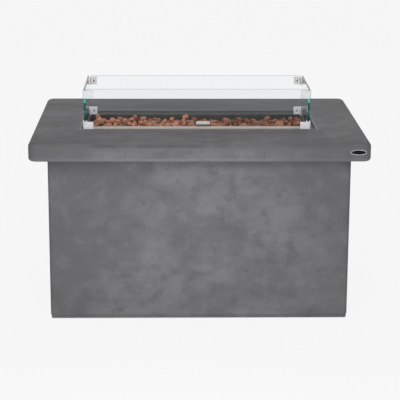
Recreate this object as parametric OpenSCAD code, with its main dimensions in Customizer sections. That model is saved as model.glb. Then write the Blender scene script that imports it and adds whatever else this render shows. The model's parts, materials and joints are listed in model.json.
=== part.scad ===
// Rectangular gas fire table with a concrete finish, a lava rock burner and a glass wind guard.
// Millimetres. +X is the long side, the front faces -Y, +Z is up. The origin is on the floor,
// in the middle of the table's footprint.

/* [Table top] */
// Length of the table top
top_w = 1120; // [1000:1:1300]
// Depth of the table top, front to back
top_d = 810; // [760:1:950]
// Height of the table surface above the floor
table_h = 620; // [580:1:700]
// Height of the top's edge band
apron_h = 64; // [50:1:90]
// Thickness of the slab over the base
slab_t = 24; // [20:1:30]
// Thickness of the edge band's wall
apron_wall = 20; // [14:1:26]
// Plan radius of the top's corners
top_corner_r = 28; // [20:1:40]
// Radius of the top's upper edge
top_edge_r = 17; // [6:1:18]
// Radius of the top's lower edge
top_lower_r = 10; // [3:1:13]

/* [Base] */
// How far the top stands out past the base at its ends
overhang_side = 58; // [40:1:80]
// How far the top stands out past the base in front and behind
overhang_front = 61; // [40:1:75]
// Wall thickness of the base
base_wall = 18; // [14:1:24]
// Plan radius of the base's corners
base_corner_r = 14; // [4:1:24]
// Radius of the base's lower edge
base_lower_r = 12; // [2:1:13]
// Width of the ledge inside the base's foot
ledge_w = 36; // [30:1:40]
// Thickness of the ledge inside the base's foot
ledge_t = 16; // [15:1:24]
// Height of the glides under the base
foot_h = 4; // [3:1:14]
// Radius of the glides
foot_r = 22; // [15:1:26]

/* [Fire opening] */
// Depth of the recess in the top, front to back
recess_d = 339; // [320:1:400]
// How far the recess sits towards the front
recess_forward = 11; // [0:1:20]
// Drop from the table surface to the pan's flange
flange_drop = 5; // [3:0.5:8]

/* [Burner pan] */
// Sheet thickness of the pan
pan_sheet = 1.5; // [1:0.1:2]
// Gap between the flange and the recess, all round
flange_gap = 4; // [3:0.5:6]
// How far the pan and guard sit to the left
pan_left = 6; // [0:1:8]
// Inner length of the trough
trough_w = 744; // [690:1:746]
// Inner depth of the trough, front to back
trough_d = 205; // [195:1:215]
// How far the trough sits behind the middle of the recess
trough_back = 8.5; // [0:0.5:12]
// Height of the trough below its flange
trough_h = 48; // [44:1:54]

/* [Burner] */
// Outer radius of the burner tubes
burner_r = 8; // [6:0.5:9]
// Wall of the burner tubes
burner_wall = 1.2; // [1:0.1:2]
// Height of the burner tubes above the trough's floor
burner_lift = 2; // [1:0.5:4]
// Distance from the trough's ends to the burner rails' ends
burner_inset = 62; // [40:1:90]
// Radius of a gas port
port_r = 1.6; // [1.2:0.1:2]
// Spacing of the gas ports
port_pitch = 26; // [20:1:40]
// Outer radius of the air mixer
mixer_r = 14; // [12:0.5:16]
// Length of the air mixer below the pan
mixer_l = 74; // [66:1:90]

/* [Lava rock] */
// Usual width of a stone
stone_pitch = 41; // [38:1:46]
// Height of the tallest stones above the table surface
stone_rise = 14; // [4:1:20]
// Clearance between two stones
stone_gap = 0.5; // [0.3:0.1:0.8]

/* [Wind guard] */
// Height of the glass above the table surface
guard_h = 134; // [100:1:170]
// Length of the guard over its clips, and of the pan's flange under it
guard_w = 774; // [740:1:776]
// Depth of the guard over its clips
guard_d = 291; // [270:1:300]
// Gap from the front of the recess to the guard
guard_front = 9; // [8:0.5:14]
// Thickness of the glass
glass_t = 6; // [5:0.5:8]
// Length of a clip's arm
clip_arm = 35; // [30:1:45]
// Height of a clip
clip_h = 26; // [20:1:32]
// Wall of a clip
clip_wall = 3; // [2:0.5:4]
// Distance from the glass's top edge to the upper clips
clip_below_top = 5; // [2:1:12]
// Clearance between glass and clip
clip_fit = 0.3; // [0.2:0.05:0.5]

/* [Access door] */
// Distance from the doorway to the middle of the base
door_middle = 15; // [8:1:30]
// Height of the doorway
door_h = 440; // [420:1:450]
// Height of the doorway's sill above the base's underside
door_sill = 54; // [50:1:70]
// Distance from the base's side to the doorway
door_side = 57; // [50:1:60]
// Gap between the door and its frame
door_gap = 3; // [2:0.5:4]
// Thickness of the door
door_t = 16; // [12:1:18]
// Radius of a hinge's knuckle
knuckle_r = 5; // [4:0.5:6]
// Radius of a hinge's pin
hinge_pin_r = 2.5; // [2:0.25:3]
// Length of a hinge
hinge_l = 60; // [50:1:80]

/* [Controls] */
// Width of the control panel
panel_w = 210; // [190:1:230]
// Height of the control panel
panel_h = 120; // [105:1:130]
// Sheet thickness of the control panel
panel_t = 2; // [1.5:0.25:3]
// Middle of the control panel from the base's middle
panel_x = 230; // [205:1:250]
// Height of the control panel's middle above the floor
panel_z = 440; // [420:1:460]
// Radius of the control knob
knob_r = 22; // [18:1:26]
// Length of the control knob
knob_l = 24; // [20:1:28]
// Travel of the knob when pressed
knob_press = 3; // [2:0.5:3.5]
// Radius of the valve's stem
stem_r = 4; // [3:0.5:5]
// Radius of the igniter's button
button_r = 9; // [7:0.5:10]
// Travel of the igniter's button
button_press = 4; // [3:0.5:5]

/* [Tank bay] */
// Inner radius of the ring that holds the tank's foot
ring_r = 104; // [102:0.5:110]
// Height of the ring
ring_h = 34; // [20:1:45]
// Thickness of the floor panel
floor_t = 12; // [9:1:18]
// Thickness of the heat shield's sheet
shield_sheet = 1.5; // [1:0.1:2]
// Gap from the pan to the heat shield
shield_drop = 42; // [30:1:44]

/* [Hidden] */
$fn = 48;

// Clearance between pieces that only rest on each other
rest_gap = 0.2;
// Radial clearance of a shaft that turns or slides
run_fit = 0.05;
// Overrun of a cutting solid past the face it cuts
cut = 1;

// Levels
top_under = table_h - apron_h;
slab_under = table_h - slab_t;
flange_z = table_h - flange_drop;
recess_z = flange_z - pan_sheet;
trough_z = flange_z - trough_h;
pan_under = trough_z - pan_sheet;
base_w = top_w - 2 * overhang_side;
base_d = top_d - 2 * overhang_front;
base_h = slab_under - foot_h;
door_w = base_w / 2 - door_side - door_middle;
ledge_z = foot_h + ledge_t;

// Plan places of the fire opening
recess_y = -recess_forward;
recess_front = recess_y - recess_d / 2;
trough_y = recess_y + trough_back;
flange_w = guard_w;
flange_d = recess_d - 2 * flange_gap;
recess_w = flange_w + 2 * flange_gap + 2 * pan_left;

// Corners and margins of the concrete and the pan
recess_corner_r = 3;
hole_margin = 7;
flange_corner_r = 4;
pan_corner_r = 8;

// Inside of the base
base_in_w = base_w - 2 * base_wall;
base_in_d = base_d - 2 * base_wall;
back_face = base_d / 2;
back_inner = back_face - base_wall;
base_upper_r = 2;
inner_corner_r = 6;
floor_gap = 0.5;
foot_in = 36;
foot_lip = 2;

// Brackets between the base and the slab
bracket_x = 330;
bracket_y = 190;
bracket_w = 50;
bracket_leg = 40;
bracket_t = 3;
bracket_hole_r = 3;

// Burner, in step with the rows of stones
stone_cols = round(trough_w / stone_pitch);
stone_rows = round(trough_d / stone_pitch);
col_pitch = (trough_w - 2 * stone_gap) / stone_cols;
row_pitch = (trough_d - 2 * stone_gap) / stone_rows;
function col_edge(i) = -pan_left - trough_w / 2 + stone_gap + i * col_pitch;
function row_edge(i) = trough_y - trough_d / 2 + stone_gap + i * row_pitch;
rail_rows = [1, stone_rows - 2];
rail_y = [for (r = rail_rows) row_edge(r) + row_pitch / 2];
rail_l = trough_w - 2 * burner_inset;
cross_col = floor(stone_cols / 2) + 1;
cross_x = col_edge(cross_col) + col_pitch / 2;
tube_z = trough_z + burner_lift + burner_r;
tube_top = tube_z + burner_r;
port_lean = 40;
saddle_x = rail_l / 2 - 40;
saddle_w = 12;
drain_x = trough_w / 2 - 30;
drain_y = trough_d / 2 - 30;
drain_r = 4;

// Air mixer and gas orifice under the pan
mixer_wall = 1.5;
nut_r = 17;
nut_t = 9;
stub_r = 10;
stub_bore_r = 5;
cross_r = burner_r - 1;
mixer_z = pan_under - nut_t - mixer_l;
orifice_r = 9;
orifice_l = 22;
air_slot_w = 9;
air_slot_h = 26;
shutter_l = 32;
shutter_t = 1.5;
mixer_foot = 3;
orifice_neck_r = 5;
orifice_hex_l = 12;

// Controls behind the panel
valve_x = panel_x - 48;
igniter_x = panel_x + 52;
panel_y = back_face;
valve_w = 44;
valve_d = 52;
valve_h = 50;
valve_front = panel_y - 3;
valve_back = valve_front - valve_d;
plug_r = 10;
plug_l = 34;
plug_front = valve_front - 6;
stem_seat = plug_front - 22;
valve_neck_r = 12;
outlet_y = valve_front - 26;
outlet_z = panel_z + 8;
panel_land = 15;
knob_y = panel_y + panel_t + knob_press + 0.7;
knob_skirt = 5;
knob_grip_r = knob_r * 0.78;
knob_round = 3;
knob_bore = 16;
knob_flutes = 12;
flute_r = 4;
pointer_w = 2.4;
inlet_r = 7.9;
inlet_l = 18;
inlet_hex_r = 12;
inlet_hex_l = 10;

// Igniter housing, battery and button
igniter_r = 15;
igniter_l = 78;
igniter_end = 3;
igniter_back = panel_y - igniter_l;
battery_r = 7.2;
battery_l = 50;
battery_cap = 1.5;
bezel_r = 17;
bezel_t = 3;
nose_r = 12;
button_proud = button_press + 1.5;
button_front = panel_y + panel_t + bezel_t + button_proud;
button_l = 29.5;
button_round = 1.5;

// Sensors under the hood
hood_x = 16;
hood_w = 47;
hood_top = table_h + 4;
hood_face = 8;
hood_front = trough_y - trough_d / 2 + 9;
hood_d = 30;
hood_sheet = 1.2;
hood_bend = 5;
leg_w = 7;
electrode_x = hood_x - 8;
thermo_x = hood_x + 9;
sensor_y = row_edge(1) - 7;
ceramic_r = 3.5;
probe_r = 2.5;
tip_r = 1.1;
sensor_fit = 0.2;
bracket_sheet = 1.5;
ceramic_up = 7;
spark_z = trough_z + 13;
spark_gap = 4;
probe_up = 15;

// Leads and gas line
lead_r = 1.6;
capillary_r = 1.2;
line_r = 5;
line_bend = 22;
lead_bend = 14;
sensor_low = pan_under - 22;
lead_z = pan_under - 42;
capillary_z = pan_under - 60;
capillary_up = 18;
lead_room = 40;
line_drop = 62;
line_z = panel_z - line_drop;

// Tank bay
shield_z = pan_under - shield_drop - shield_sheet;
tank_x = -base_w / 2 + door_side + door_w / 2;
tank_room = 206;
tank_y = base_in_d / 2 - tank_room;
shield_w = 400;
shield_d = 400;
shield_lip = 14;
spacer_r = 6;
ring_wall = 2.5;
floor_z = ledge_z + floor_t;
spacer_x = 110;
spacer_y = 60;
vent_hole_r = 50;
vent_slots = 8;
vent_slot_w = 16;
vent_slot_l = 150;
vent_slot_x = 60;
vent_slot_y = 150;
vent_slot_pitch = 48;

// Doorway in the back wall
door_x0 = -base_w / 2 + door_side;
door_z0 = foot_h + door_sill;
leaf_t = 2;
hinge_y = back_face + leaf_t + knuckle_r - 1;
hinge_x = door_x0;
leaf_w = 24;
knuckles = 3;
hinge_end = 70;
hinge_z = [door_z0 + hinge_end, door_z0 + door_h - hinge_end - hinge_l];
handle_x = door_x0 + door_w - 36;
handle_l = 120;
handle_out = 30;
handle_r = 5;
knuckle_gap = 0.4;
louvres = 5;
louvre_w = 220;
louvre_h = 7;
louvre_pitch = 18;
louvre_margin = 34;
louvre_lean = 25;
magnet_z = door_z0 + door_h - 60;
magnet_d = 14;
magnet_t = 12;
magnet_l = 40;
magnet_foot = 24;
magnet_gap = 0.4;
strike_t = 1.5;

// Guard
guard_y = recess_front + guard_front + guard_d / 2;
guard_z = flange_z + rest_gap;
clip_t = 2 * clip_wall + glass_t + 2 * clip_fit;
web = clip_t;
clip_floor = 2;
glass_z = guard_z + clip_floor + clip_fit;
glass_top = table_h + guard_h;
clip_corner_r = 6;

// Finishes
concrete = [0.42, 0.42, 0.43];
stainless = [0.72, 0.71, 0.69];
dark_steel = [0.26, 0.26, 0.27];
zinc = [0.62, 0.63, 0.65];
brass = [0.78, 0.62, 0.34];
black = [0.08, 0.08, 0.09];
glass_tint = [0.66, 0.84, 0.81, 0.4];
clip_silver = [0.86, 0.87, 0.88];
rock_red = [0.50, 0.34, 0.29];
ceramic_white = [0.92, 0.90, 0.86];
copper = [0.72, 0.45, 0.30];

// Helpers

// Quarter disc in the first quadrant
module quarter(r) {
    intersection() {
        circle(r);
        square(r);
    }
}

// Section of a slab's edge: flat inside, rounded above and below at x = reach
module edge_section(reach, h, upper, lower) {
    square([reach - upper, h]);
    square([reach - lower, h - upper]);
    translate([0, lower]) square([reach, h - upper - lower]);
    translate([reach - upper, h - upper]) quarter(upper);
    translate([reach - lower, lower]) mirror([0, 1]) quarter(lower);
}

// Block with rounded plan corners and rounded upper and lower edges, standing on z = 0
module soft_block(w, d, h, corner, upper, lower) {
    half_w = w / 2 - corner;
    half_d = d / 2 - corner;
    translate([-half_w, -half_d, 0]) cube([2 * half_w, 2 * half_d, h]);
    for (side = [0, 1]) {
        rotate(180 * side) {
            translate([half_w, half_d, 0]) rotate([90, 0, 0])
                linear_extrude(2 * half_d) edge_section(corner, h, upper, lower);
            translate([-half_w, half_d, 0]) rotate([90, 0, 90])
                linear_extrude(2 * half_w) edge_section(corner, h, upper, lower);
            translate([half_w, half_d, 0])
                rotate_extrude(angle = 90) edge_section(corner, h, upper, lower);
            translate([-half_w, half_d, 0]) rotate(90)
                rotate_extrude(angle = 90) edge_section(corner, h, upper, lower);
        }
    }
}

// Straight block with round plan corners, standing on z = 0
module round_block(w, d, h, r) {
    linear_extrude(h) round_rect(w, d, r);
}

// Rectangle with true round corners, about the origin
module round_rect(w, d, r) {
    square([w - 2 * r, d], center = true);
    square([w, d - 2 * r], center = true);
    for (x = [-1, 1], y = [-1, 1]) {
        translate([x * (w / 2 - r), y * (d / 2 - r)]) circle(r);
    }
}

// Places its children facing +Y, with their own +Z along it
module facing_back(x, y, z) {
    translate([x, y, z]) rotate([-90, 0, 0]) children();
}

// Unit vector from one point to another
function towards(a, b) = (b - a) / norm(b - a);

// Round rod along a route whose neighbouring legs are square to each other
module rod_run(route, r, bend) {
    last = len(route) - 1;
    for (i = [0 : last - 1]) {
        way = towards(route[i], route[i + 1]);
        start = route[i] + (i > 0 ? bend : 0) * way;
        stop = route[i + 1] - (i < last - 1 ? bend : 0) * way;
        side = abs(way[2]) > 0.9 ? [1, 0, 0] : [0, 0, 1];
        third = cross(way, side);
        multmatrix([
            [side[0], third[0], way[0], start[0]],
            [side[1], third[1], way[1], start[1]],
            [side[2], third[2], way[2], start[2]],
            [0, 0, 0, 1]
        ]) cylinder(r = r, h = norm(stop - start));
    }
    for (i = [1 : 1 : last - 1]) {
        way_in = towards(route[i - 1], route[i]);
        way_out = towards(route[i], route[i + 1]);
        middle = route[i] + bend * (way_out - way_in);
        pole = cross(way_in, way_out);
        multmatrix([
            [-way_out[0], way_in[0], pole[0], middle[0]],
            [-way_out[1], way_in[1], pole[1], middle[1]],
            [-way_out[2], way_in[2], pole[2], middle[2]],
            [0, 0, 0, 1]
        ]) rotate_extrude(angle = 90) translate([bend, 0]) circle(r);
    }
}

// Table and base

module table_top() color(concrete) {
    difference() {
        translate([0, 0, top_under])
            soft_block(top_w, top_d, apron_h, top_corner_r, top_edge_r, top_lower_r);
        translate([0, 0, top_under - cut])
            round_block(top_w - 2 * apron_wall, top_d - 2 * apron_wall,
                apron_h - slab_t + cut, top_corner_r - apron_wall / 2);
        translate([0, recess_y, recess_z])
            round_block(recess_w, recess_d, table_h, recess_corner_r);
        translate([-pan_left, trough_y, slab_under - cut])
            round_block(trough_w + 2 * hole_margin, trough_d + 2 * hole_margin,
                slab_t + 2 * cut, hole_margin);
    }
}

module base_shell() color(concrete) {
    difference() {
        translate([0, 0, foot_h])
            soft_block(base_w, base_d, base_h, base_corner_r, base_upper_r, base_lower_r);
        translate([0, 0, ledge_z]) round_block(base_in_w, base_in_d, base_h, inner_corner_r);
        translate([0, 0, foot_h - cut])
            round_block(base_in_w - 2 * ledge_w, base_in_d - 2 * ledge_w,
                ledge_t + 2 * cut, inner_corner_r);
        translate([door_x0, back_inner - cut, door_z0])
            cube([door_w, base_wall + 2 * cut, door_h]);
        translate([panel_x, back_face, panel_z])
            cube([panel_w - 2 * panel_land, 3 * base_wall, panel_h - 2 * panel_land],
                center = true);
    }
}

module foot_glides() color(black) {
    for (x = [-1, 1], y = [-1, 1]) {
        translate([x * (base_w / 2 - foot_in), y * (base_d / 2 - foot_in), 0]) {
            cylinder(r = foot_r - foot_lip, h = foot_h);
            translate([0, 0, foot_lip]) cylinder(r = foot_r, h = foot_h - foot_lip);
        }
    }
}

module floor_panel() color(dark_steel) {
    difference() {
        translate([0, 0, ledge_z])
            round_block(base_in_w - 2 * floor_gap, base_in_d - 2 * floor_gap,
                floor_t, inner_corner_r);
        translate([tank_x, tank_y, ledge_z - cut]) cylinder(r = vent_hole_r, h = floor_t + 2 * cut);
        for (x = [0 : vent_slots - 1], y = [-1, 1]) {
            translate([vent_slot_x + x * vent_slot_pitch, y * vent_slot_y, ledge_z - cut])
                round_block(vent_slot_w, vent_slot_l, floor_t + 2 * cut, vent_slot_w / 2 - 0.1);
        }
    }
}

// Places its children at each bracket, with +Y leading away from the wall
module bracket_places() {
    for (x = [-1, 1], side = [0, 1]) {
        rotate(180 * side) {
            translate([x * bracket_x, -base_in_d / 2, slab_under]) children();
            translate([base_in_w / 2, x * bracket_y, slab_under]) rotate(90) children();
        }
    }
}

module top_brackets() color(zinc) {
    bracket_places() difference() {
        union() {
            translate([-bracket_w / 2, 0, -bracket_leg]) cube([bracket_w, bracket_t, bracket_leg]);
            translate([-bracket_w / 2, 0, -bracket_t]) cube([bracket_w, bracket_leg, bracket_t]);
        }
        for (x = [-1, 1]) {
            translate([x * bracket_w / 4, bracket_leg * 0.6, -bracket_t - cut])
                cylinder(r = bracket_hole_r, h = bracket_t + 2 * cut);
            translate([x * bracket_w / 4, -cut, -bracket_leg * 0.6]) rotate([-90, 0, 0])
                cylinder(r = bracket_hole_r, h = bracket_t + 2 * cut);
        }
    }
}

// Pan and burner

module burner_pan() color(stainless) {
    outer_w = trough_w + 2 * pan_sheet;
    outer_d = trough_d + 2 * pan_sheet;
    difference() {
        union() {
            translate([-pan_left, recess_y, recess_z])
                round_block(flange_w, flange_d, pan_sheet, flange_corner_r);
            translate([-pan_left, trough_y, pan_under])
                round_block(outer_w, outer_d, recess_z - pan_under + pan_sheet / 2, pan_corner_r);
        }
        translate([-pan_left, trough_y, trough_z])
            round_block(trough_w, trough_d, trough_h + cut, pan_corner_r - pan_sheet);
        translate([cross_x, trough_y, pan_under - cut])
            cylinder(r = stub_r + sensor_fit, h = pan_sheet + 2 * cut);
        for (x = [electrode_x, thermo_x]) {
            translate([x, sensor_y, pan_under - cut])
                cylinder(r = ceramic_r + sensor_fit, h = pan_sheet + 2 * cut);
        }
        for (x = [-1, 1], y = [-1, 1]) {
            translate([x * drain_x - pan_left, trough_y + y * drain_y, pan_under - cut])
                cylinder(r = drain_r, h = pan_sheet + 2 * cut);
        }
    }
}

// Rails and cross tube, drawn in by the wall for the space inside them
module burner_shape(inset) {
    for (y = rail_y) {
        translate([-pan_left - rail_l / 2 + inset, y, tube_z]) rotate([0, 90, 0])
            cylinder(r = burner_r - inset, h = rail_l - 2 * inset);
    }
    translate([cross_x, rail_y[0], tube_z]) rotate([-90, 0, 0])
        cylinder(r = cross_r - inset, h = rail_y[1] - rail_y[0]);
}

module burner_tube() color(stainless) {
    stub_low = pan_under - nut_t;
    ports = floor((rail_l - 40) / port_pitch);
    difference() {
        union() {
            burner_shape(0);
            translate([cross_x, trough_y, stub_low]) cylinder(r = stub_r, h = tube_top - stub_low);
        }
        burner_shape(burner_wall);
        translate([cross_x, trough_y, stub_low - cut])
            cylinder(r = stub_bore_r, h = tube_z - stub_low + cut);
        for (y = rail_y, i = [0 : ports]) {
            lean = y > trough_y ? -port_lean : port_lean;
            translate([-pan_left + (i - ports / 2) * port_pitch, y, tube_z]) rotate([lean, 0, 0])
                cylinder(r = port_r, h = burner_r + cut);
        }
    }
}

module burner_saddles() color(stainless) {
    for (y = rail_y, x = [-1, 1]) {
        translate([-pan_left + x * saddle_x, y, trough_z]) difference() {
            translate([-saddle_w / 2, -burner_r, 0])
                cube([saddle_w, 2 * burner_r, burner_lift + burner_r / 2]);
            translate([-saddle_w, 0, tube_z - trough_z]) rotate([0, 90, 0])
                cylinder(r = burner_r + run_fit, h = 2 * saddle_w);
        }
    }
}

module inlet_nut() color(brass) {
    translate([cross_x, trough_y, pan_under - nut_t]) difference() {
        cylinder(r = nut_r, h = nut_t - rest_gap, $fn = 6);
        translate([0, 0, -cut]) cylinder(r = stub_r + run_fit, h = nut_t + 2 * cut);
    }
}

module air_mixer() color(zinc) {
    translate([cross_x, trough_y, mixer_z]) difference() {
        union() {
            cylinder(r = mixer_r, h = mixer_l);
            cylinder(r = mixer_r + shutter_t + 2, h = mixer_foot);
        }
        translate([0, 0, mixer_foot]) cylinder(r = mixer_r - mixer_wall, h = mixer_l);
        translate([0, 0, -cut]) cylinder(r = orifice_neck_r + run_fit, h = mixer_foot + 2 * cut);
        air_slots(mixer_r + cut);
    }
}

// Two facing air slots, as cutting solids about the mixer's axis
module air_slots(reach) {
    translate([-air_slot_w / 2, -reach, mixer_foot + 3]) cube([air_slot_w, 2 * reach, air_slot_h]);
}

module air_shutter() color(zinc) {
    translate([cross_x, trough_y, mixer_z]) difference() {
        translate([0, 0, mixer_foot + rest_gap])
            cylinder(r = mixer_r + run_fit + shutter_t, h = shutter_l);
        cylinder(r = mixer_r + run_fit, h = mixer_l);
        air_slots(mixer_r + 2 * shutter_t);
    }
}

module gas_orifice() color(brass) {
    translate([cross_x, trough_y, mixer_z]) difference() {
        union() {
            cylinder(r = orifice_neck_r, h = mixer_foot + 4);
            translate([0, 0, -orifice_hex_l]) cylinder(r = orifice_r, h = orifice_hex_l, $fn = 6);
            translate([0, 0, -orifice_l]) cylinder(r = line_r + 1.5, h = orifice_l);
        }
        translate([0, 0, -orifice_l + 6]) cylinder(r = 0.9, h = orifice_l + mixer_foot);
    }
}

module gas_line() color(zinc) {
    low = [cross_x, trough_y, mixer_z - orifice_l];
    rod_run([
        low,
        [cross_x, trough_y, line_z],
        [cross_x, outlet_y, line_z],
        [cross_x, outlet_y, outlet_z],
        [valve_x - valve_w / 2, outlet_y, outlet_z]
    ], line_r, line_bend);
}

// Valve and controls

module gas_valve() color(zinc) {
    difference() {
        union() {
            translate([valve_x - valve_w / 2, valve_back, panel_z - valve_h / 2])
                cube([valve_w, valve_d, valve_h]);
            facing_back(valve_x, valve_front - cut, panel_z)
                cylinder(r = valve_neck_r, h = panel_y - valve_front + cut);
        }
        facing_back(valve_x, valve_back - cut, panel_z)
            cylinder(r = plug_r + run_fit, h = plug_front - valve_back + cut);
        facing_back(valve_x, valve_back, panel_z)
            cylinder(r = stem_r + 2 * run_fit, h = valve_d * 2);
    }
}

module valve_plug() color(brass) {
    difference() {
        facing_back(valve_x, plug_front - plug_l - rest_gap, panel_z)
            cylinder(r = plug_r, h = plug_l);
        facing_back(valve_x, stem_seat, panel_z) cylinder(r = stem_r + run_fit, h = plug_l);
    }
}

module valve_stem() color(zinc) {
    back = stem_seat + knob_press + 1;
    facing_back(valve_x, back, panel_z) cylinder(r = stem_r, h = knob_y + knob_bore - 1 - back);
}

module control_knob() color(black) {
    facing_back(valve_x, knob_y, panel_z) difference() {
        union() {
            cylinder(r = knob_r, h = knob_skirt);
            cylinder(r = knob_grip_r, h = knob_l - knob_round);
            translate([0, 0, knob_l - knob_round]) rotate_extrude() {
                square([knob_grip_r - knob_round, knob_round]);
                translate([knob_grip_r - knob_round, 0]) quarter(knob_round);
            }
        }
        translate([0, 0, -cut]) cylinder(r = stem_r + run_fit, h = knob_bore + cut);
        for (i = [0 : knob_flutes - 1]) {
            rotate((i + 0.5) * 360 / knob_flutes)
                translate([knob_grip_r + flute_r * 0.6, 0, knob_skirt])
                    cylinder(r = flute_r, h = knob_l);
        }
        translate([-pointer_w / 2, -knob_grip_r, knob_l - 1]) cube([pointer_w, knob_grip_r - 4, 2]);
    }
}

module gas_inlet() color(brass) {
    under = panel_z - valve_h / 2;
    translate([valve_x, outlet_y, under - inlet_hex_l])
        cylinder(r = inlet_hex_r, h = inlet_hex_l, $fn = 6);
    translate([valve_x, outlet_y, under - inlet_hex_l - inlet_l]) difference() {
        cylinder(r = inlet_r, h = inlet_l + 1);
        translate([0, 0, -cut]) cylinder(r = inlet_r / 2, h = inlet_l);
    }
}

module control_panel() color(stainless) {
    difference() {
        facing_back(panel_x, panel_y, panel_z) round_block(panel_w, panel_h, panel_t, 6);
        facing_back(valve_x, panel_y - cut, panel_z) cylinder(r = stem_r + 2, h = panel_t + 2 * cut);
        facing_back(igniter_x, panel_y - cut, panel_z)
            cylinder(r = nose_r + sensor_fit, h = panel_t + 2 * cut);
    }
}

module igniter_housing() color(black) {
    button_back = button_front - button_l;
    difference() {
        union() {
            facing_back(igniter_x, igniter_back, panel_z) cylinder(r = igniter_r, h = igniter_l);
            facing_back(igniter_x, igniter_back, panel_z)
                cylinder(r = nose_r, h = igniter_l + panel_t + bezel_t);
        }
        facing_back(igniter_x, igniter_back + igniter_end, panel_z)
            cylinder(r = battery_r + sensor_fit, h = igniter_l * 2);
        facing_back(igniter_x, button_back - button_press - 1, panel_z)
            cylinder(r = button_r + run_fit, h = igniter_l);
    }
}

module igniter_battery() color(copper) {
    facing_back(igniter_x, igniter_back + igniter_end + rest_gap, panel_z) {
        cylinder(r = battery_r, h = battery_l - battery_cap);
        cylinder(r = battery_r / 3, h = battery_l);
    }
}

module igniter_button() color(black) {
    facing_back(igniter_x, button_front - button_l, panel_z) {
        cylinder(r = button_r, h = button_l - button_round);
        translate([0, 0, button_l - button_round]) rotate_extrude() {
            square([button_r - button_round, button_round]);
            translate([button_r - button_round, 0]) quarter(button_round);
        }
    }
}

module igniter_bezel() color(stainless) {
    facing_back(igniter_x, panel_y + panel_t + rest_gap, panel_z) difference() {
        cylinder(r = bezel_r, h = bezel_t - rest_gap);
        translate([0, 0, -cut]) cylinder(r = nose_r + run_fit, h = bezel_t + 2 * cut);
    }
}

module igniter_lead() color(rock_red) {
    rod_run([
        [electrode_x, sensor_y, sensor_low],
        [electrode_x, sensor_y, lead_z],
        [electrode_x, igniter_back - lead_room, lead_z],
        [igniter_x, igniter_back - lead_room, lead_z],
        [igniter_x, igniter_back - lead_room, panel_z],
        [igniter_x, igniter_back, panel_z]
    ], lead_r, lead_bend);
}

module thermocouple_lead() color(copper) {
    rod_run([
        [thermo_x, sensor_y, sensor_low],
        [thermo_x, sensor_y, capillary_z],
        [thermo_x, valve_back - lead_room, capillary_z],
        [valve_x, valve_back - lead_room, capillary_z],
        [valve_x, valve_back - lead_room, panel_z + capillary_up],
        [valve_x, valve_back, panel_z + capillary_up]
    ], capillary_r, lead_bend);
}

// Sensors

module igniter_electrode() color(ceramic_white) {
    translate([electrode_x, sensor_y, sensor_low])
        cylinder(r = ceramic_r, h = trough_z + ceramic_up - sensor_low);
    rod_run([
        [electrode_x, sensor_y, trough_z + ceramic_up - 1],
        [electrode_x, sensor_y, spark_z],
        [electrode_x, rail_y[0] - burner_r - spark_gap, spark_z]
    ], tip_r, 3);
}

module thermocouple() color(copper) {
    translate([thermo_x, sensor_y, sensor_low]) {
        cylinder(r = probe_r, h = tube_top + probe_up - sensor_low);
        translate([0, 0, pan_under - sensor_low - 8]) cylinder(r = ceramic_r, h = 8 + pan_sheet);
    }
}

module sensor_bracket() color(stainless) {
    difference() {
        translate([electrode_x - 9, sensor_y - 8, trough_z])
            cube([thermo_x - electrode_x + 18, 14, bracket_sheet]);
        translate([electrode_x, sensor_y, trough_z - cut])
            cylinder(r = ceramic_r + sensor_fit, h = bracket_sheet + 2 * cut);
        translate([thermo_x, sensor_y, trough_z - cut])
            cylinder(r = probe_r + sensor_fit, h = bracket_sheet + 2 * cut);
    }
}

// Bent sheet over the sensors, on two legs that stand on the trough's floor
module sensor_hood() color(stainless) {
    inner = hood_bend - hood_sheet;
    translate([hood_x - hood_w / 2, hood_front, 0]) rotate([90, 0, 90]) linear_extrude(hood_w) {
        translate([0, hood_top - hood_face]) square([hood_sheet, hood_face - hood_bend]);
        translate([hood_bend, hood_top - hood_sheet]) square([hood_d - hood_bend, hood_sheet]);
        translate([hood_bend, hood_top - hood_bend]) mirror([1, 0]) difference() {
            quarter(hood_bend);
            circle(inner);
        }
    }
    for (x = [0, hood_w - leg_w]) {
        translate([hood_x - hood_w / 2 + x, hood_front, trough_z])
            cube([leg_w, hood_sheet, hood_top - hood_face - trough_z + cut]);
        translate([hood_x - hood_w / 2 + x, hood_front, trough_z]) cube([leg_w, 9, hood_sheet]);
    }
}

// Lava rock

// One random number for a stone, the same at every build
function pick(row, col, k, low, high) = rands(low, high, 1, 1000 * row + 20 * col + k)[0];

// Edge between two stones of a row, a little to one side or the other
function joint_x(row, i) =
    i <= 0 || i >= stone_cols ? col_edge(i)
    : col_edge(i) + (row > 1 && (i == cross_col || i == cross_col + 1) ? 0 : pick(row, i, 1, -5, 5));

// Sides of a stone, drawn back where the hood stands in its row
function stone_low_x(row, col) =
    let (x = joint_x(row, col))
    row == 0 && x + col_pitch / 2 > hood_x ? max(x, hood_x + hood_w / 2 + stone_gap) : x;
function stone_high_x(row, col) =
    let (x = joint_x(row, col + 1))
    row == 0 && x - col_pitch / 2 < hood_x ? min(x, hood_x - hood_w / 2 - stone_gap) : x;

// A stone lies on a tube where one runs below it, and otherwise on the trough's floor
function over_tube(row, col) =
    row == rail_rows[0] || row == rail_rows[1]
    || (col == cross_col && row > rail_rows[0] && row < rail_rows[1]);

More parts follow.
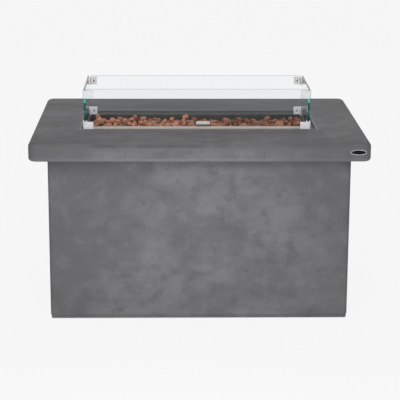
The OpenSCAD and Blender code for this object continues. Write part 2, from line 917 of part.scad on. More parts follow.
// Corners of a stone: six where it leans on its neighbours, and eight between them
function stone_points(row, col) =
    let (
        x0 = stone_low_x(row, col) + stone_gap / 2,
        x1 = stone_high_x(row, col) - stone_gap / 2,
        y0 = row_edge(row) + stone_gap / 2,
        y1 = row_edge(row + 1) - stone_gap / 2,
        z0 = (over_tube(row, col) ? tube_top : trough_z) + stone_gap,
        z1 = table_h + (row == stone_rows - 1 ? pick(row, col, 2, -14, -4)
            : pick(row, col, 2, stone_rise - 18, stone_rise)),
        mid = [(x0 + x1) / 2, (y0 + y1) / 2, (z0 + z1) / 2],
        half = [(x1 - x0) / 2, (y1 - y0) / 2, (z1 - z0) / 2],
        lean_y = [for (i = [col, col + 1]) mid[1] + pick(row, i, 3, -0.25, 0.25) * half[1]],
        lean_z = [for (i = [col, col + 1]) tube_top + pick(row, i, 4, 8, 20)]
    )
    concat(
        [
            [x0, lean_y[0], lean_z[0]],
            [x1, lean_y[1], lean_z[1]],
            [mid[0] + pick(row, col, 5, -0.3, 0.3) * half[0], y0, mid[2]],
            [mid[0] + pick(row, col, 6, -0.3, 0.3) * half[0], y1, mid[2]],
            [mid[0] + pick(row, col, 7, -0.2, 0.2) * half[0], mid[1], z0],
            [mid[0] + pick(row, col, 8, -0.3, 0.3) * half[0], mid[1], z1]
        ],
        [for (i = [0 : 7])
            let (reach = pick(row, col, 9 + i, 0.58, 0.78))
            mid + reach * [half[0] * corner_sign(i)[0], half[1] * corner_sign(i)[1],
                half[2] * corner_sign(i)[2]]]
    );
function corner_sign(i) = [i % 2 * 2 - 1, floor(i / 2) % 2 * 2 - 1, floor(i / 4) * 2 - 1];

// Three faces about each of the eight corners, turned so that all of them face outwards
stone_faces = [
    for (i = [0 : 7])
        let (
            sign = corner_sign(i),
            x = i % 2,
            y = 2 + floor(i / 2) % 2,
            z = 4 + floor(i / 4),
            even = sign[0] * sign[1] * sign[2] > 0,
            ring = even ? [y, x, z] : [x, y, z]
        )
        for (k = [0 : 2]) [6 + i, ring[k], ring[(k + 1) % 3]]
];

module lava_rocks() color(rock_red) {
    for (row = [0 : stone_rows - 1], col = [0 : stone_cols - 1]) {
        if (stone_high_x(row, col) - stone_low_x(row, col) > col_pitch / 2) {
            polyhedron(stone_points(row, col), stone_faces);
        }
    }
}

// Tank bay

module heat_shield() color(zinc) {
    translate([tank_x, tank_y, shield_z]) {
        round_block(shield_w, shield_d, shield_sheet, 4);
        for (side = [0, 1]) {
            rotate(180 * side) translate([shield_w / 2 - shield_sheet, 4 - shield_d / 2, -shield_lip])
                cube([shield_sheet, shield_d - 8, shield_lip + shield_sheet / 2]);
        }
    }
}

module shield_spacers() color(zinc) {
    for (x = [-1, 1], y = [-1, 1]) {
        translate([tank_x + x * spacer_x, trough_y + y * spacer_y, shield_z + shield_sheet])
            cylinder(r = spacer_r, h = pan_under - shield_z - shield_sheet);
    }
}

module tank_ring() color(dark_steel) {
    translate([tank_x, tank_y, floor_z]) rotate_extrude() translate([ring_r, 0])
        square([ring_wall, ring_h]);
}

// Access door

module access_door() color(concrete) {
    upper = door_h - louvre_margin - (louvres - 1) * louvre_pitch;
    difference() {
        translate([door_x0 + door_gap, back_face - door_t, door_z0 + door_gap])
            cube([door_w - 2 * door_gap, door_t, door_h - 2 * door_gap]);
        for (i = [0 : louvres - 1], first = [louvre_margin, upper]) {
            z = door_z0 + first + i * louvre_pitch;
            translate([door_x0 + door_w / 2, back_face - door_t / 2, z])
                rotate([louvre_lean, 0, 0]) cube([louvre_w, 3 * door_t, louvre_h], center = true);
        }
    }
}

module door_handle() color(black) {
    low = door_z0 + door_h / 2 - handle_l / 2;
    rod_run([
        [handle_x, back_face, low],
        [handle_x, back_face + handle_out, low],
        [handle_x, back_face + handle_out, low + handle_l],
        [handle_x, back_face, low + handle_l]
    ], handle_r, 2.5 * handle_r);
}

module door_strike() color(zinc) {
    x = door_x0 + door_w - door_gap - magnet_d - 4;
    translate([x, back_face - door_t - strike_t, magnet_z - magnet_l / 2])
        cube([magnet_d, strike_t, magnet_l]);
}

module door_magnet() color(dark_steel) {
    front = back_face - door_t - strike_t - magnet_gap;
    start = [door_x0 + door_w - door_gap - magnet_d, front - magnet_t, magnet_z - magnet_l / 2];
    translate(start) cube([magnet_d, magnet_t, magnet_l]);
    translate(start) cube([magnet_d + magnet_foot, back_inner - start[1], magnet_l]);
}

// One leaf of every hinge, with the knuckles that belong to it
module hinge_leaves(side, own) {
    length = hinge_l / knuckles;
    for (z = hinge_z, k = [0 : knuckles - 1]) {
        translate([hinge_x, 0, z + k * length]) {
            translate([side > 0 ? knuckle_r + 1 : -leaf_w, back_face, 0])
                cube([leaf_w - knuckle_r - 1, leaf_t, length]);
            if (k % 2 == own) {
                difference() {
                    union() {
                        translate([side > 0 ? 0 : -knuckle_r - 2, hinge_y - knuckle_r, knuckle_gap])
                            cube([knuckle_r + 2, leaf_t - 1, length - 2 * knuckle_gap]);
                        translate([0, hinge_y, knuckle_gap])
                            cylinder(r = knuckle_r, h = length - 2 * knuckle_gap);
                    }
                    translate([0, hinge_y, -cut])
                        cylinder(r = hinge_pin_r + run_fit, h = length + 2 * cut);
                }
            }
        }
    }
}

module hinge_leaves_fixed() color(black) hinge_leaves(-1, 0);

module hinge_leaves_door() color(black) hinge_leaves(1, 1);

module hinge_pins() color(zinc) {
    for (z = hinge_z) {
        translate([hinge_x, hinge_y, z]) cylinder(r = hinge_pin_r, h = hinge_l);
        translate([hinge_x, hinge_y, z + hinge_l]) cylinder(r = hinge_pin_r + 1.5, h = 2);
    }
}

// Wind guard

module glass_panel(w, d) {
    color(glass_tint) translate([-w / 2, -d / 2, glass_z]) cube([w, d, glass_top - glass_z]);
}

// The long panels stand in front and behind, the short ones at the sides
module glass_long(side) {
    translate([-pan_left, guard_y + side * (guard_d / 2 - clip_wall - clip_fit - glass_t / 2), 0])
        glass_panel(guard_w - 2 * web - 2 * clip_fit, glass_t);
}

module glass_short(side) {
    translate([-pan_left + side * (guard_w / 2 - clip_wall - clip_fit - glass_t / 2), guard_y, 0])
        glass_panel(glass_t, guard_d - 2 * web - 2 * clip_fit);
}

module glass_front() glass_long(-1);
module glass_back() glass_long(1);
module glass_left() glass_short(-1);
module glass_right() glass_short(1);

// Plan of a corner clip: an angle with a slot for the glass in each arm
module clip_plan(slots) {
    difference() {
        union() {
            translate([clip_corner_r, 0]) square([clip_arm - clip_corner_r, clip_t]);
            translate([0, clip_corner_r]) square([clip_t, clip_arm - clip_corner_r]);
            translate([clip_corner_r, clip_corner_r]) circle(clip_corner_r);
        }
        if (slots) {
            slot = glass_t + 2 * clip_fit;
            translate([web, clip_wall]) square([clip_arm, slot]);
            translate([clip_wall, web]) square([slot, clip_arm]);
        }
    }
}

module guard_clips(z, with_floor) {
    for (x = [-1, 1], y = [-1, 1]) {
        translate([-pan_left + x * guard_w / 2, guard_y + y * guard_d / 2, z])
            mirror([x > 0 ? 1 : 0, 0, 0]) mirror([0, y > 0 ? 1 : 0, 0]) {
                linear_extrude(clip_h) clip_plan(true);
                if (with_floor) linear_extrude(clip_floor) clip_plan(false);
            }
    }
}

module guard_clips_lower() color(clip_silver) guard_clips(guard_z, true);

module guard_clips_upper() color(clip_silver) guard_clips(glass_top - clip_below_top - clip_h, false);

table_top();
base_shell();
foot_glides();
floor_panel();
top_brackets();
burner_pan();
burner_tube();
burner_saddles();
inlet_nut();
air_mixer();
air_shutter();
gas_orifice();
gas_line();
gas_valve();
valve_plug();
valve_stem();
control_knob();
gas_inlet();
control_panel();
igniter_housing();
igniter_battery();
igniter_button();
igniter_bezel();
igniter_lead();
igniter_electrode();
thermocouple();
thermocouple_lead();
sensor_bracket();
sensor_hood();
lava_rocks();
heat_shield();
shield_spacers();
tank_ring();
access_door();
door_handle();
door_strike();
door_magnet();
hinge_leaves_fixed();
hinge_leaves_door();
hinge_pins();
glass_front();
glass_back();
glass_left();
glass_right();
guard_clips_lower();
guard_clips_upper();
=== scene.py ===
"""Gas fire table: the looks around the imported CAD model, in metres, in the CAD's own frame."""
import json
import math
import random
from typing import NamedTuple

import bmesh
import bpy
from mathutils import Matrix, Vector, noise


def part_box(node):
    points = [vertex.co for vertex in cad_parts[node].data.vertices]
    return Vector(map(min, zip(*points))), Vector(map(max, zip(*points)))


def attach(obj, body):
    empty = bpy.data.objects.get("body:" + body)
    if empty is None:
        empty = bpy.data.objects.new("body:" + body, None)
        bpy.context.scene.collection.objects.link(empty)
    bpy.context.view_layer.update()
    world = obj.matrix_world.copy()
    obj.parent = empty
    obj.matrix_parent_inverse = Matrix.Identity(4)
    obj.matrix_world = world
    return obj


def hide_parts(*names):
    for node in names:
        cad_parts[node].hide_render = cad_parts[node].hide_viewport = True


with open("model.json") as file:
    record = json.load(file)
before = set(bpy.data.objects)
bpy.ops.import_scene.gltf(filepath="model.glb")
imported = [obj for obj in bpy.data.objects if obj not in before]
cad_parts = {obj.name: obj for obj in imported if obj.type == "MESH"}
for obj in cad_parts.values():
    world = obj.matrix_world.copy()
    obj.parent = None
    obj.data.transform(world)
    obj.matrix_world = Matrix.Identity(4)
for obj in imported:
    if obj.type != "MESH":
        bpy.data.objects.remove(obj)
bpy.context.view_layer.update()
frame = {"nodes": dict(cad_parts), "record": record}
NODES = frame["nodes"]


# Boxes that the looks are tied to
TOP_LOW, TOP_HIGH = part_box("table_top")
BASE_LOW, BASE_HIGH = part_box("base_shell")
PAN_LOW, PAN_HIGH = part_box("burner_pan")
STONES_LOW, STONES_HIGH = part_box("lava_rocks")


def range_from(place, start, end):
    """The range between two distances from a place."""
    return (place + start, place + end)


# Camera, fitted to the outline of the object in the photograph; its angles are in radians
IMAGE_PX = 400
FOCAL_PX = 1439.23
CAMERA_AT = Vector((-0.09707, -4.96978, 1.6071))
YAW = -0.02133
PITCH = 0.25251
ROLL = 0.00404
SENSOR_MM = 36.0
FARTHEST = 200.0


def make_camera():
    """Sets the camera from its place and its three angles."""
    right = Vector((math.cos(YAW), math.sin(YAW), 0))
    ahead = Vector((-math.sin(YAW), math.cos(YAW), 0))
    forward = ahead * math.cos(PITCH) - Vector((0, 0, math.sin(PITCH)))
    up = ahead * math.sin(PITCH) + Vector((0, 0, math.cos(PITCH)))
    image_right = right * math.cos(ROLL) + up * math.sin(ROLL)
    image_up = up * math.cos(ROLL) - right * math.sin(ROLL)
    data = bpy.data.cameras.new("camera")
    data.sensor_width = SENSOR_MM
    data.lens = SENSOR_MM * FOCAL_PX / IMAGE_PX
    data.clip_end = FARTHEST
    camera = bpy.data.objects.new("camera", data)
    bpy.context.scene.collection.objects.link(camera)
    facing = Matrix((image_right, image_up, -forward)).transposed().to_4x4()
    camera.matrix_world = Matrix.Translation(CAMERA_AT) @ facing
    bpy.context.scene.camera = camera


# Node trees

# Places of the sockets that a Mix node uses for colours
MIX_FACTOR = 0
MIX_FIRST = 6
MIX_SECOND = 7
MIX_RESULT = 2


class Nodes:
    """The node tree of a material or a world, filled by short calls."""

    def __init__(self, tree):
        self.tree = tree

    def feed(self, socket, value):
        """Links an output to an input, or sets the input to a plain value."""
        if isinstance(value, bpy.types.NodeSocket):
            self.tree.links.new(value, socket)
        else:
            socket.default_value = value

    def node(self, kind, inputs=None, **settings):
        """Adds a node, with its settings and with what feeds its inputs."""
        made = self.tree.nodes.new("ShaderNode" + kind)
        for key, value in settings.items():
            setattr(made, key, value)
        for key, value in (inputs or {}).items():
            self.feed(made.inputs[key], value)
        return made

    def calculate(self, operation, first, second=0.0):
        """The result of a Math node."""
        return self.node("Math", {0: first, 1: second}, operation=operation).outputs["Value"]

    def plus(self, first, second):
        return self.calculate("ADD", first, second)

    def minus(self, first, second):
        return self.calculate("SUBTRACT", first, second)

    def times(self, first, second):
        return self.calculate("MULTIPLY", first, second)

    def most(self, first, second):
        """The larger of two values."""
        return self.calculate("MAXIMUM", first, second)

    def size(self, value):
        """A value without its sign."""
        return self.calculate("ABSOLUTE", value)

    def axes(self, vector):
        """The outputs X, Y and Z of a vector."""
        return self.node("SeparateXYZ", {"Vector": vector}).outputs

    def spread(self, value, low, high, out_low=0.0, out_high=1.0):
        """Maps low..high of a value to another range, with its ends held."""
        made = self.node("MapRange", {"Value": value, "From Min": low, "From Max": high,
                                      "To Min": out_low, "To Max": out_high}, clamp=True)
        return made.outputs["Result"]

    def between(self, value, rise, fall, top=1.0):
        """0 below the range rise, up to top over it, and back to 0 over the range fall."""
        return self.times(self.spread(value, *rise, 0.0, top), self.spread(value, *fall, 1.0, 0.0))

    def past_rectangle(self, axes, middle, half):
        """How far a place lies past the sides of a rectangle in X and Y; less than 0 inside it."""
        past = []
        for axis, at, reach in zip("XY", middle, half):
            away = self.size(self.minus(axes[axis], at))
            past.append(self.minus(away, reach))
        return self.most(*past)

    def blend(self, factor, first, second):
        """Mixes two colours by a factor. A colour is an output or three numbers."""
        inputs = {MIX_FACTOR: factor}
        for place, color in ((MIX_FIRST, first), (MIX_SECOND, second)):
            is_output = isinstance(color, bpy.types.NodeSocket)
            inputs[place] = color if is_output else (*color, 1)
        return self.node("Mix", inputs, data_type="RGBA").outputs[MIX_RESULT]

    def seen_directly(self):
        """1 for rays from the camera and for those that gloss and glass pass on, else 0."""
        rays = self.node("LightPath").outputs
        seen = self.most(rays["Is Camera Ray"], rays["Is Glossy Ray"])
        return self.most(seen, rays["Is Transmission Ray"])


class Shader(Nodes):
    """One procedural material. Its textures are placed in the row frame, in metres."""

    def __init__(self, name, color, **sockets):
        self.material = bpy.data.materials.new(name)
        self.material.use_nodes = True
        super().__init__(self.material.node_tree)
        self.bsdf = self.tree.nodes["Principled BSDF"]
        self.put("Base Color", (*color, 1))
        for socket, value in sockets.items():
            self.put(socket.replace("_", " "), value)
        self.place = self.node("TexCoord").outputs["Object"]

    def put(self, socket, value):
        """Feeds a socket of the main shader."""
        self.feed(self.bsdf.inputs[socket], value)

    def end(self, socket, value):
        """Feeds a socket of the material's output."""
        self.feed(self.tree.nodes["Material Output"].inputs[socket], value)

    def stretched(self, scale):
        """The place, scaled by a factor along each axis."""
        return self.node("Mapping", {"Vector": self.place, "Scale": scale}).outputs["Vector"]

    def noise(self, scale, detail, roughness, place=None, distortion=0.0):
        """Values of a cloudy texture, from 0 to 1."""
        made = self.node("TexNoise", {"Vector": place or self.place, "Scale": scale, "Detail": detail,
                                      "Roughness": roughness, "Distortion": distortion})
        return made.outputs["Fac"]

    def cells(self, scale):
        """Distance from the middles of random cells."""
        return self.node("TexVoronoi", {"Vector": self.place, "Scale": scale}).outputs["Distance"]

    def bump(self, height, strength, distance):
        """Tilts the surface as if it had the given heights."""
        made = self.node("Bump", {"Height": height, "Strength": strength, "Distance": distance})
        self.put("Normal", made.outputs["Normal"])


def shade(color, factor):
    """A colour made brighter or darker by a factor."""
    return tuple(channel * factor for channel in color)


# Materials

# The opening of the recess in X and Y: its middle and half its size. The pan lies nearer its left end,
# with the same gap there as in front and behind.
PAN_GAP = 0.004
OPENING_MIDDLE = (0.0, (PAN_LOW.y + PAN_HIGH.y) / 2)
OPENING_HALF = (PAN_GAP - PAN_LOW.x, PAN_GAP + (PAN_HIGH.y - PAN_LOW.y) / 2)

# Where the concrete's tone changes: each pair is where a change starts and where it ends
# Painted shade: the band's face darkens towards its upper arris, with a thin broken dark line just under the
# arris
BAND_SHADE_Z = range_from(TOP_HIGH.z, -0.036, -0.014)
TOP_ARRIS_Z = range_from(TOP_HIGH.z, -0.005, -0.0015)
THIN_LINE_START_Z = range_from(TOP_HIGH.z, -0.019, -0.014)
THIN_LINE_END_Z = range_from(TOP_HIGH.z, -0.009, -0.004)
FLAT_TOP_Z = range_from(TOP_HIGH.z, -0.005, -0.002)
# Painted light: the band's lower edge, which faces down, is made lighter
LOWER_EDGE_LIGHT_START_Z = range_from(TOP_LOW.z, -0.0025, -0.001)
LOWER_EDGE_LIGHT_END_Z = range_from(TOP_LOW.z, -0.0005, 0.014)
# Painted shade just above the foot of the base
FOOT_SHADE_Z = range_from(BASE_LOW.z, 0.004, 0.014)
FRONT_Y = range_from(BASE_LOW.y, -0.001, 0.014)
BAND_FACE_Y = range_from(TOP_LOW.y, 0.005, 0.015)
# Painted highlight on the top round the rim of the opening, by how far a place lies past it
RIM_HIGHLIGHT_SHARP = (0.003, 0.012)
RIM_HIGHLIGHT_SOFT = (0.0, 0.045)
# Painted shade on the front, darker towards its ends
FRONT_END_SHADE_X = (0.16, 0.52)
PATCH_MIDDLE_X = 0.36
PATCH_REACH = (0.06, 0.17)


def concrete_clouds(look, color, clouds, grain):
    """The concrete's tone wherever it is: clouds, trowel marks, smudges and grain."""
    broad = look.noise(2.4, 3.0, 0.55, distortion=0.6)
    drift = look.noise(3.4, 2.0, 0.5, place=look.stretched((1.0, 1.6, 1.6)))
    trowel = look.noise(6.0, 4.0, 0.6, place=look.stretched((1.0, 1.0, 3.5)))
    smudges = look.noise(21.0, 4.0, 0.6)
    smears = look.noise(60.0, 4.0, 0.7, place=look.stretched((0.6, 0.6, 1.0)))
    tone = look.blend(look.spread(broad, 0.36, 0.64), shade(color, 0.86), shade(color, 1.12))
    # Each layer: its texture, the range that fades, its share at both ends, and its brightness
    layers = (
        (clouds, (0.36, 0.64), (0.0, 0.65), 1.24),
        (drift, (0.42, 0.60), (0.0, 0.60), 0.74),
        (trowel, (0.46, 0.66), (0.0, 0.55), 0.78),
        (smudges, (0.53, 0.66), (0.0, 0.70), 0.72),
        (smudges, (0.34, 0.47), (0.45, 0.0), 1.26),
        (smears, (0.60, 0.74), (0.0, 0.40), 0.68),
        (grain, (0.30, 0.70), (0.0, 0.12), 0.60),
    )
    for texture, fade, share, brightness in layers:
        tone = look.blend(look.spread(texture, *fade, *share), tone, shade(color, brightness))
    return tone


def concrete_places(look, color, clouds, tone):
    """Adds what depends on the place, mostly painted light and shade: painted shade on the edge band under
    its arris and at the foot, painted highlights on the band's lower edge and round the rim of the opening,
    painted shade towards the front's ends, and a darker patch on the band.
    """
    axes = look.axes(look.place)
    in_front = look.spread(axes["Y"], *FRONT_Y, 1.0, 0.0)
    on_band = look.spread(axes["Y"], *BAND_FACE_Y, 1.0, 0.0)
    on_top = look.spread(axes["Z"], *FLAT_TOP_Z)
    band = look.between(axes["Z"], BAND_SHADE_Z, TOP_ARRIS_Z, 0.85)
    line = look.between(axes["Z"], THIN_LINE_START_Z, THIN_LINE_END_Z)
    lower = look.between(axes["Z"], LOWER_EDGE_LIGHT_START_Z, LOWER_EDGE_LIGHT_END_Z)
    past = look.past_rectangle(axes, OPENING_MIDDLE, OPENING_HALF)
    sharp = look.spread(past, *RIM_HIGHLIGHT_SHARP, 0.5, 0.0)
    rim = look.plus(sharp, look.spread(past, *RIM_HIGHLIGHT_SOFT, 0.22, 0.0))
    ends = look.spread(look.size(axes["X"]), *FRONT_END_SHADE_X, 0.0, 0.42)
    off_patch = look.size(look.minus(axes["X"], PATCH_MIDDLE_X))
    patch = look.spread(off_patch, *PATCH_REACH, 0.36, 0.0)
    foot = look.spread(axes["Z"], *FOOT_SHADE_Z, 0.25, 0.0)
    # Each mark: its share of the tone, and its brightness
    # Band, line, ends and foot are painted shade; the lower edge and the rim are painted light
    marks = (
        (band, 0.80),
        (look.times(line, look.spread(clouds, 0.44, 0.58)), 0.60),
        (lower, 1.40),
        (look.times(rim, on_top), 1.70),
        (look.times(ends, in_front), 0.66),
        (look.times(patch, on_band), 0.60),
        (foot, 0.60),
    )
    for share, brightness in marks:
        tone = look.blend(share, tone, shade(color, brightness))
    return tone


def concrete(name, color):
    """Smooth cast concrete: soft clouds, faint trowel marks, fine grain and a few pinholes."""
    look = Shader(name, color, Roughness=0.6, Specular_IOR_Level=0.12)
    clouds = look.noise(8.0, 5.0, 0.6, distortion=0.15)
    grain = look.noise(420.0, 2.0, 0.5)
    tone = concrete_clouds(look, color, clouds, grain)
    tone = concrete_places(look, color, clouds, tone)
    pores = look.spread(look.cells(95.0), 0.0, 0.09)
    few = look.spread(look.noise(14.0, 2.0, 0.5), 0.56, 0.6, 1.0, 0.0)
    pinholes = look.most(pores, few)
    look.put("Base Color", look.blend(pinholes, shade(color, 0.55), tone))
    look.put("Roughness", look.spread(clouds, 0.3, 0.7, 0.62, 0.8))
    height = look.plus(look.times(clouds, 0.8), look.times(grain, 0.12))
    look.bump(look.plus(height, look.times(pinholes, 0.3)), 0.22, 0.002)
    return look.material


# How finely a brushed grain changes along each axis
GRAIN_ALONG_X = (3.0, 260.0, 260.0)
GRAIN_EVEN = (60.0, 60.0, 60.0)
GRAIN_PLATED = (40.0, 40.0, 160.0)
GRAIN_DRAWN = (120.0, 120.0, 20.0)
GRAIN_TURNED = (30.0, 30.0, 300.0)


def brushed(name, color, grain=GRAIN_ALONG_X, roughness=0.3, stain=None, metallic=1.0):
    """Brushed metal with a fine grain and faint smears."""
    look = Shader(name, color, Metallic=metallic, Roughness=roughness)
    lines = look.noise(3.0, 3.0, 0.6, place=look.stretched(grain))
    smears = look.noise(16.0, 3.0, 0.6, distortion=0.8)
    tone = look.blend(look.spread(lines, 0.3, 0.7), shade(color, 0.86), shade(color, 1.06))
    tone = look.blend(look.spread(smears, 0.45, 0.75, 0.0, 0.35), tone, stain or shade(color, 0.8))
    look.put("Base Color", tone)
    streaks = look.spread(lines, 0.3, 0.7, -0.06, 0.06)
    dull = look.spread(smears, 0.4, 0.7, roughness - 0.04, roughness + 0.1)
    look.put("Roughness", look.plus(streaks, dull))
    look.bump(lines, 0.12, 0.0004)
    return look.material


# Where the pan darkens, as painted shade, towards the back and downwards inside, and where it is dirty and
# darkened by a painted shadow along its front
SHADE_BEHIND_Y = range_from(PAN_LOW.y, 0.0665, 0.1465)
SHADE_INSIDE_Z = range_from(PAN_HIGH.z, -0.0005, -0.0025)
DIRT_AND_SHADOW_Y = range_from(PAN_LOW.y, 0.0105, 0.0265)


def pan_steel(name):
    """Satin steel of the pan with painted light: a warm pale tone in front stands in for the light and the
    reflection of the stones on it, and painted shade makes it dull grey behind and inside.
    """
    look = Shader(name, (0.5, 0.45, 0.4))
    axes = look.axes(look.place)
    lines = look.noise(3.0, 3.0, 0.6, place=look.stretched(GRAIN_ALONG_X))
    smears = look.noise(26.0, 4.0, 0.6, distortion=1.0)
    smeared = look.spread(smears, 0.35, 0.7)
    painted_warm_reflection = look.blend(smeared, (0.465, 0.375, 0.305), (0.59, 0.50, 0.42))
    painted_shade_grey = look.blend(smeared, (0.085, 0.083, 0.081), (0.13, 0.128, 0.126))
    wobble = look.spread(smears, 0.3, 0.7, -0.02, 0.02)
    # Painted shade: duller and darker behind and downwards inside
    behind = look.spread(look.plus(axes["Y"], wobble), *SHADE_BEHIND_Y)
    inside = look.spread(axes["Z"], *SHADE_INSIDE_Z)
    dark = look.most(behind, inside)
    # Painted shadow along the front, at the foot of the glass, where the pan is also dirty
    dirt_and_shadow = look.spread(look.plus(axes["Y"], look.times(wobble, 0.4)), *DIRT_AND_SHADOW_Y, 0.75, 0.0)
    tone = look.blend(dark, painted_warm_reflection, painted_shade_grey)
    tone = look.blend(dirt_and_shadow, tone, (0.15, 0.14, 0.125))
    look.put("Base Color", look.blend(look.spread(lines, 0.3, 0.7, 0.0, 0.2), tone, (0.12, 0.11, 0.10)))
    look.put("Metallic", look.spread(dark, 0.0, 1.0, 0.6, 0.1))
    look.put("Specular IOR Level", look.spread(dark, 0.0, 1.0, 0.5, 0.05))
    clean = look.spread(smears, 0.3, 0.7, 0.36, 0.55)
    look.put("Roughness", look.most(clean, look.spread(dark, 0.0, 1.0, 0.3, 0.85)))
    look.bump(lines, 0.12, 0.0004)
    return look.material


def powder(name, color, roughness=0.5, gloss=0.5):
    """Powder coat: fine orange peel, faint dust and slightly paler worn patches."""
    look = Shader(name, color, Roughness=roughness, Specular_IOR_Level=gloss)
    peel = look.noise(650.0, 2.0, 0.5)
    dust = look.noise(18.0, 4.0, 0.6)
    tone = look.blend(look.spread(peel, 0.3, 0.7), shade(color, 0.85), shade(color, 1.12))
    look.put("Base Color", look.blend(look.spread(dust, 0.5, 0.75, 0.0, 0.2), tone, shade(color, 1.9)))
    look.put("Roughness", look.spread(dust, 0.35, 0.7, roughness - 0.06, roughness + 0.12))
    look.bump(peel, 0.2, 0.0004)
    return look.material


# Colours of the stones, and where the bed darkens to the right and downwards: painted shade, away from the
# light
DARK_RED = (0.24, 0.110, 0.076)
RUST = (0.64, 0.245, 0.148)
PINK = (0.82, 0.375, 0.255)
BROWN = (0.44, 0.27, 0.19)
PALE_DUST_AND_HIGHLIGHT = (0.98, 0.55, 0.40)
DARK_SPECK = (0.07, 0.035, 0.028)
PIT = (0.045, 0.022, 0.018)
SHADED_DARK_RED = (0.16, 0.08, 0.055)
UNLIT = (0.012, 0.007, 0.006)
SHADE_TO_RIGHT_X = (0.0, 0.12)
UNLIT_Z = range_from(TOP_HIGH.z, -0.028, -0.005)


def lava(name):
    """Porous lava rock: each stone rusty red, pink or brown, with dark pits, pale spots that are partly dust
    and partly painted highlight, and painted shade to the right and downwards.
    """
    look = Shader(name, RUST, Roughness=0.9, Specular_IOR_Level=0.2)
    axes = look.axes(look.place)
    own = look.node("NewGeometry").outputs["Random Per Island"]
    patch = look.noise(70.0, 4.0, 0.65, distortion=0.5)
    speck = look.noise(420.0, 3.0, 0.6)
    tone = look.blend(look.spread(own, 0.0, 0.35), DARK_RED, RUST)
    tone = look.blend(look.spread(own, 0.4, 0.75), tone, PINK)
    tone = look.blend(look.spread(own, 0.8, 0.95), tone, BROWN)
    # Pale patches, partly dust and partly painted highlight
    tone = look.blend(look.spread(patch, 0.4, 0.7, 0.0, 0.7), tone, PALE_DUST_AND_HIGHLIGHT)
    tone = look.blend(look.spread(speck, 0.55, 0.75, 0.0, 0.6), tone, DARK_SPECK)
    pits = look.spread(look.cells(330.0), 0.1, 0.42)
    large = look.spread(look.cells(120.0), 0.08, 0.3)
    depth = look.times(pits, look.plus(0.35, look.times(large, 0.65)))
    tone = look.blend(look.spread(depth, 0.0, 0.8), PIT, tone)
    # Painted shade: darker towards the right, and almost black downwards into the bed
    tone = look.blend(look.spread(axes["X"], *SHADE_TO_RIGHT_X, 0.05, 0.42), tone, SHADED_DARK_RED)
    look.put("Base Color", look.blend(look.spread(axes["Z"], *UNLIT_Z), UNLIT, tone))
    look.bump(look.plus(depth, look.times(speck, 0.4)), 0.9, 0.0022)
    return look.material


# Colours of the glass: its faces, its end faces, a dark upper edge, and the dark foot, which is a painted
# shadow where the pane stands
CLEAR = (0.975, 0.968, 0.982)
GREEN_END = (0.20, 0.86, 0.76)
DARK_TOP = (0.10, 0.13, 0.13)
DARK_FOOT = (0.02, 0.03, 0.03)

# How squarely a face points along an axis where it turns to an edge, and where the foot ends
EDGE_FACING = (0.6, 0.9)
ABOVE_FOOT = (0.0002, 0.0006)
GLASS_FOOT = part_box("glass_front")[0].z


def clear_glass(name, along, top=CLEAR):
    """Clear float glass whose edges look green; along names the axis that its end faces point along."""
    look = Shader(name, (1.0, 1.0, 1.0), Roughness=0.0, IOR=1.5, Transmission_Weight=1.0,
                  Specular_Tint=(0.12, 0.13, 0.13, 1))
    height = look.minus(look.axes(look.place)["Z"], GLASS_FOOT)
    facing = look.axes(look.node("NewGeometry").outputs["Normal"])
    tone = look.blend(look.spread(look.size(facing[along]), *EDGE_FACING), CLEAR, GREEN_END)
    tone = look.blend(look.spread(look.size(facing["Z"]), *EDGE_FACING), tone, top)
    # Painted shadow: a dark line along the foot of each pane
    look.put("Base Color", look.blend(look.spread(height, *ABOVE_FOOT), DARK_FOOT, tone))
    film = look.noise(7.0, 3.0, 0.6)
    look.put("Roughness", look.spread(film, 0.5, 0.8, 0.0, 0.02))
    tint = look.node("VolumeAbsorption", {"Color": (0.10, 0.66, 0.62, 1), "Density": 5.5})
    look.end("Volume", tint.outputs["Volume"])
    return look.material


def moulded(name, color, roughness=0.45, scale=900.0):
    """Moulded plastic or rubber: fine spark texture and a faint handling sheen."""
    look = Shader(name, color, Roughness=roughness)
    grain = look.noise(scale, 2.0, 0.6)
    touch = look.noise(30.0, 3.0, 0.5)
    look.put("Base Color", look.blend(look.spread(grain, 0.3, 0.7), shade(color, 0.8), shade(color, 1.25)))
    look.put("Roughness", look.spread(touch, 0.35, 0.7, roughness - 0.08, roughness + 0.1))
    look.bump(grain, 0.18, 0.0003)
    return look.material


def ceramic(name, color):
    """Fired ceramic with faint darker marks."""
    look = Shader(name, color, Roughness=0.35)
    mark = look.noise(120.0, 3.0, 0.6)
    look.put("Base Color", look.blend(look.spread(mark, 0.5, 0.8, 0.0, 0.4), color, shade(color, 0.7)))
    look.bump(mark, 0.1, 0.0003)
    return look.material


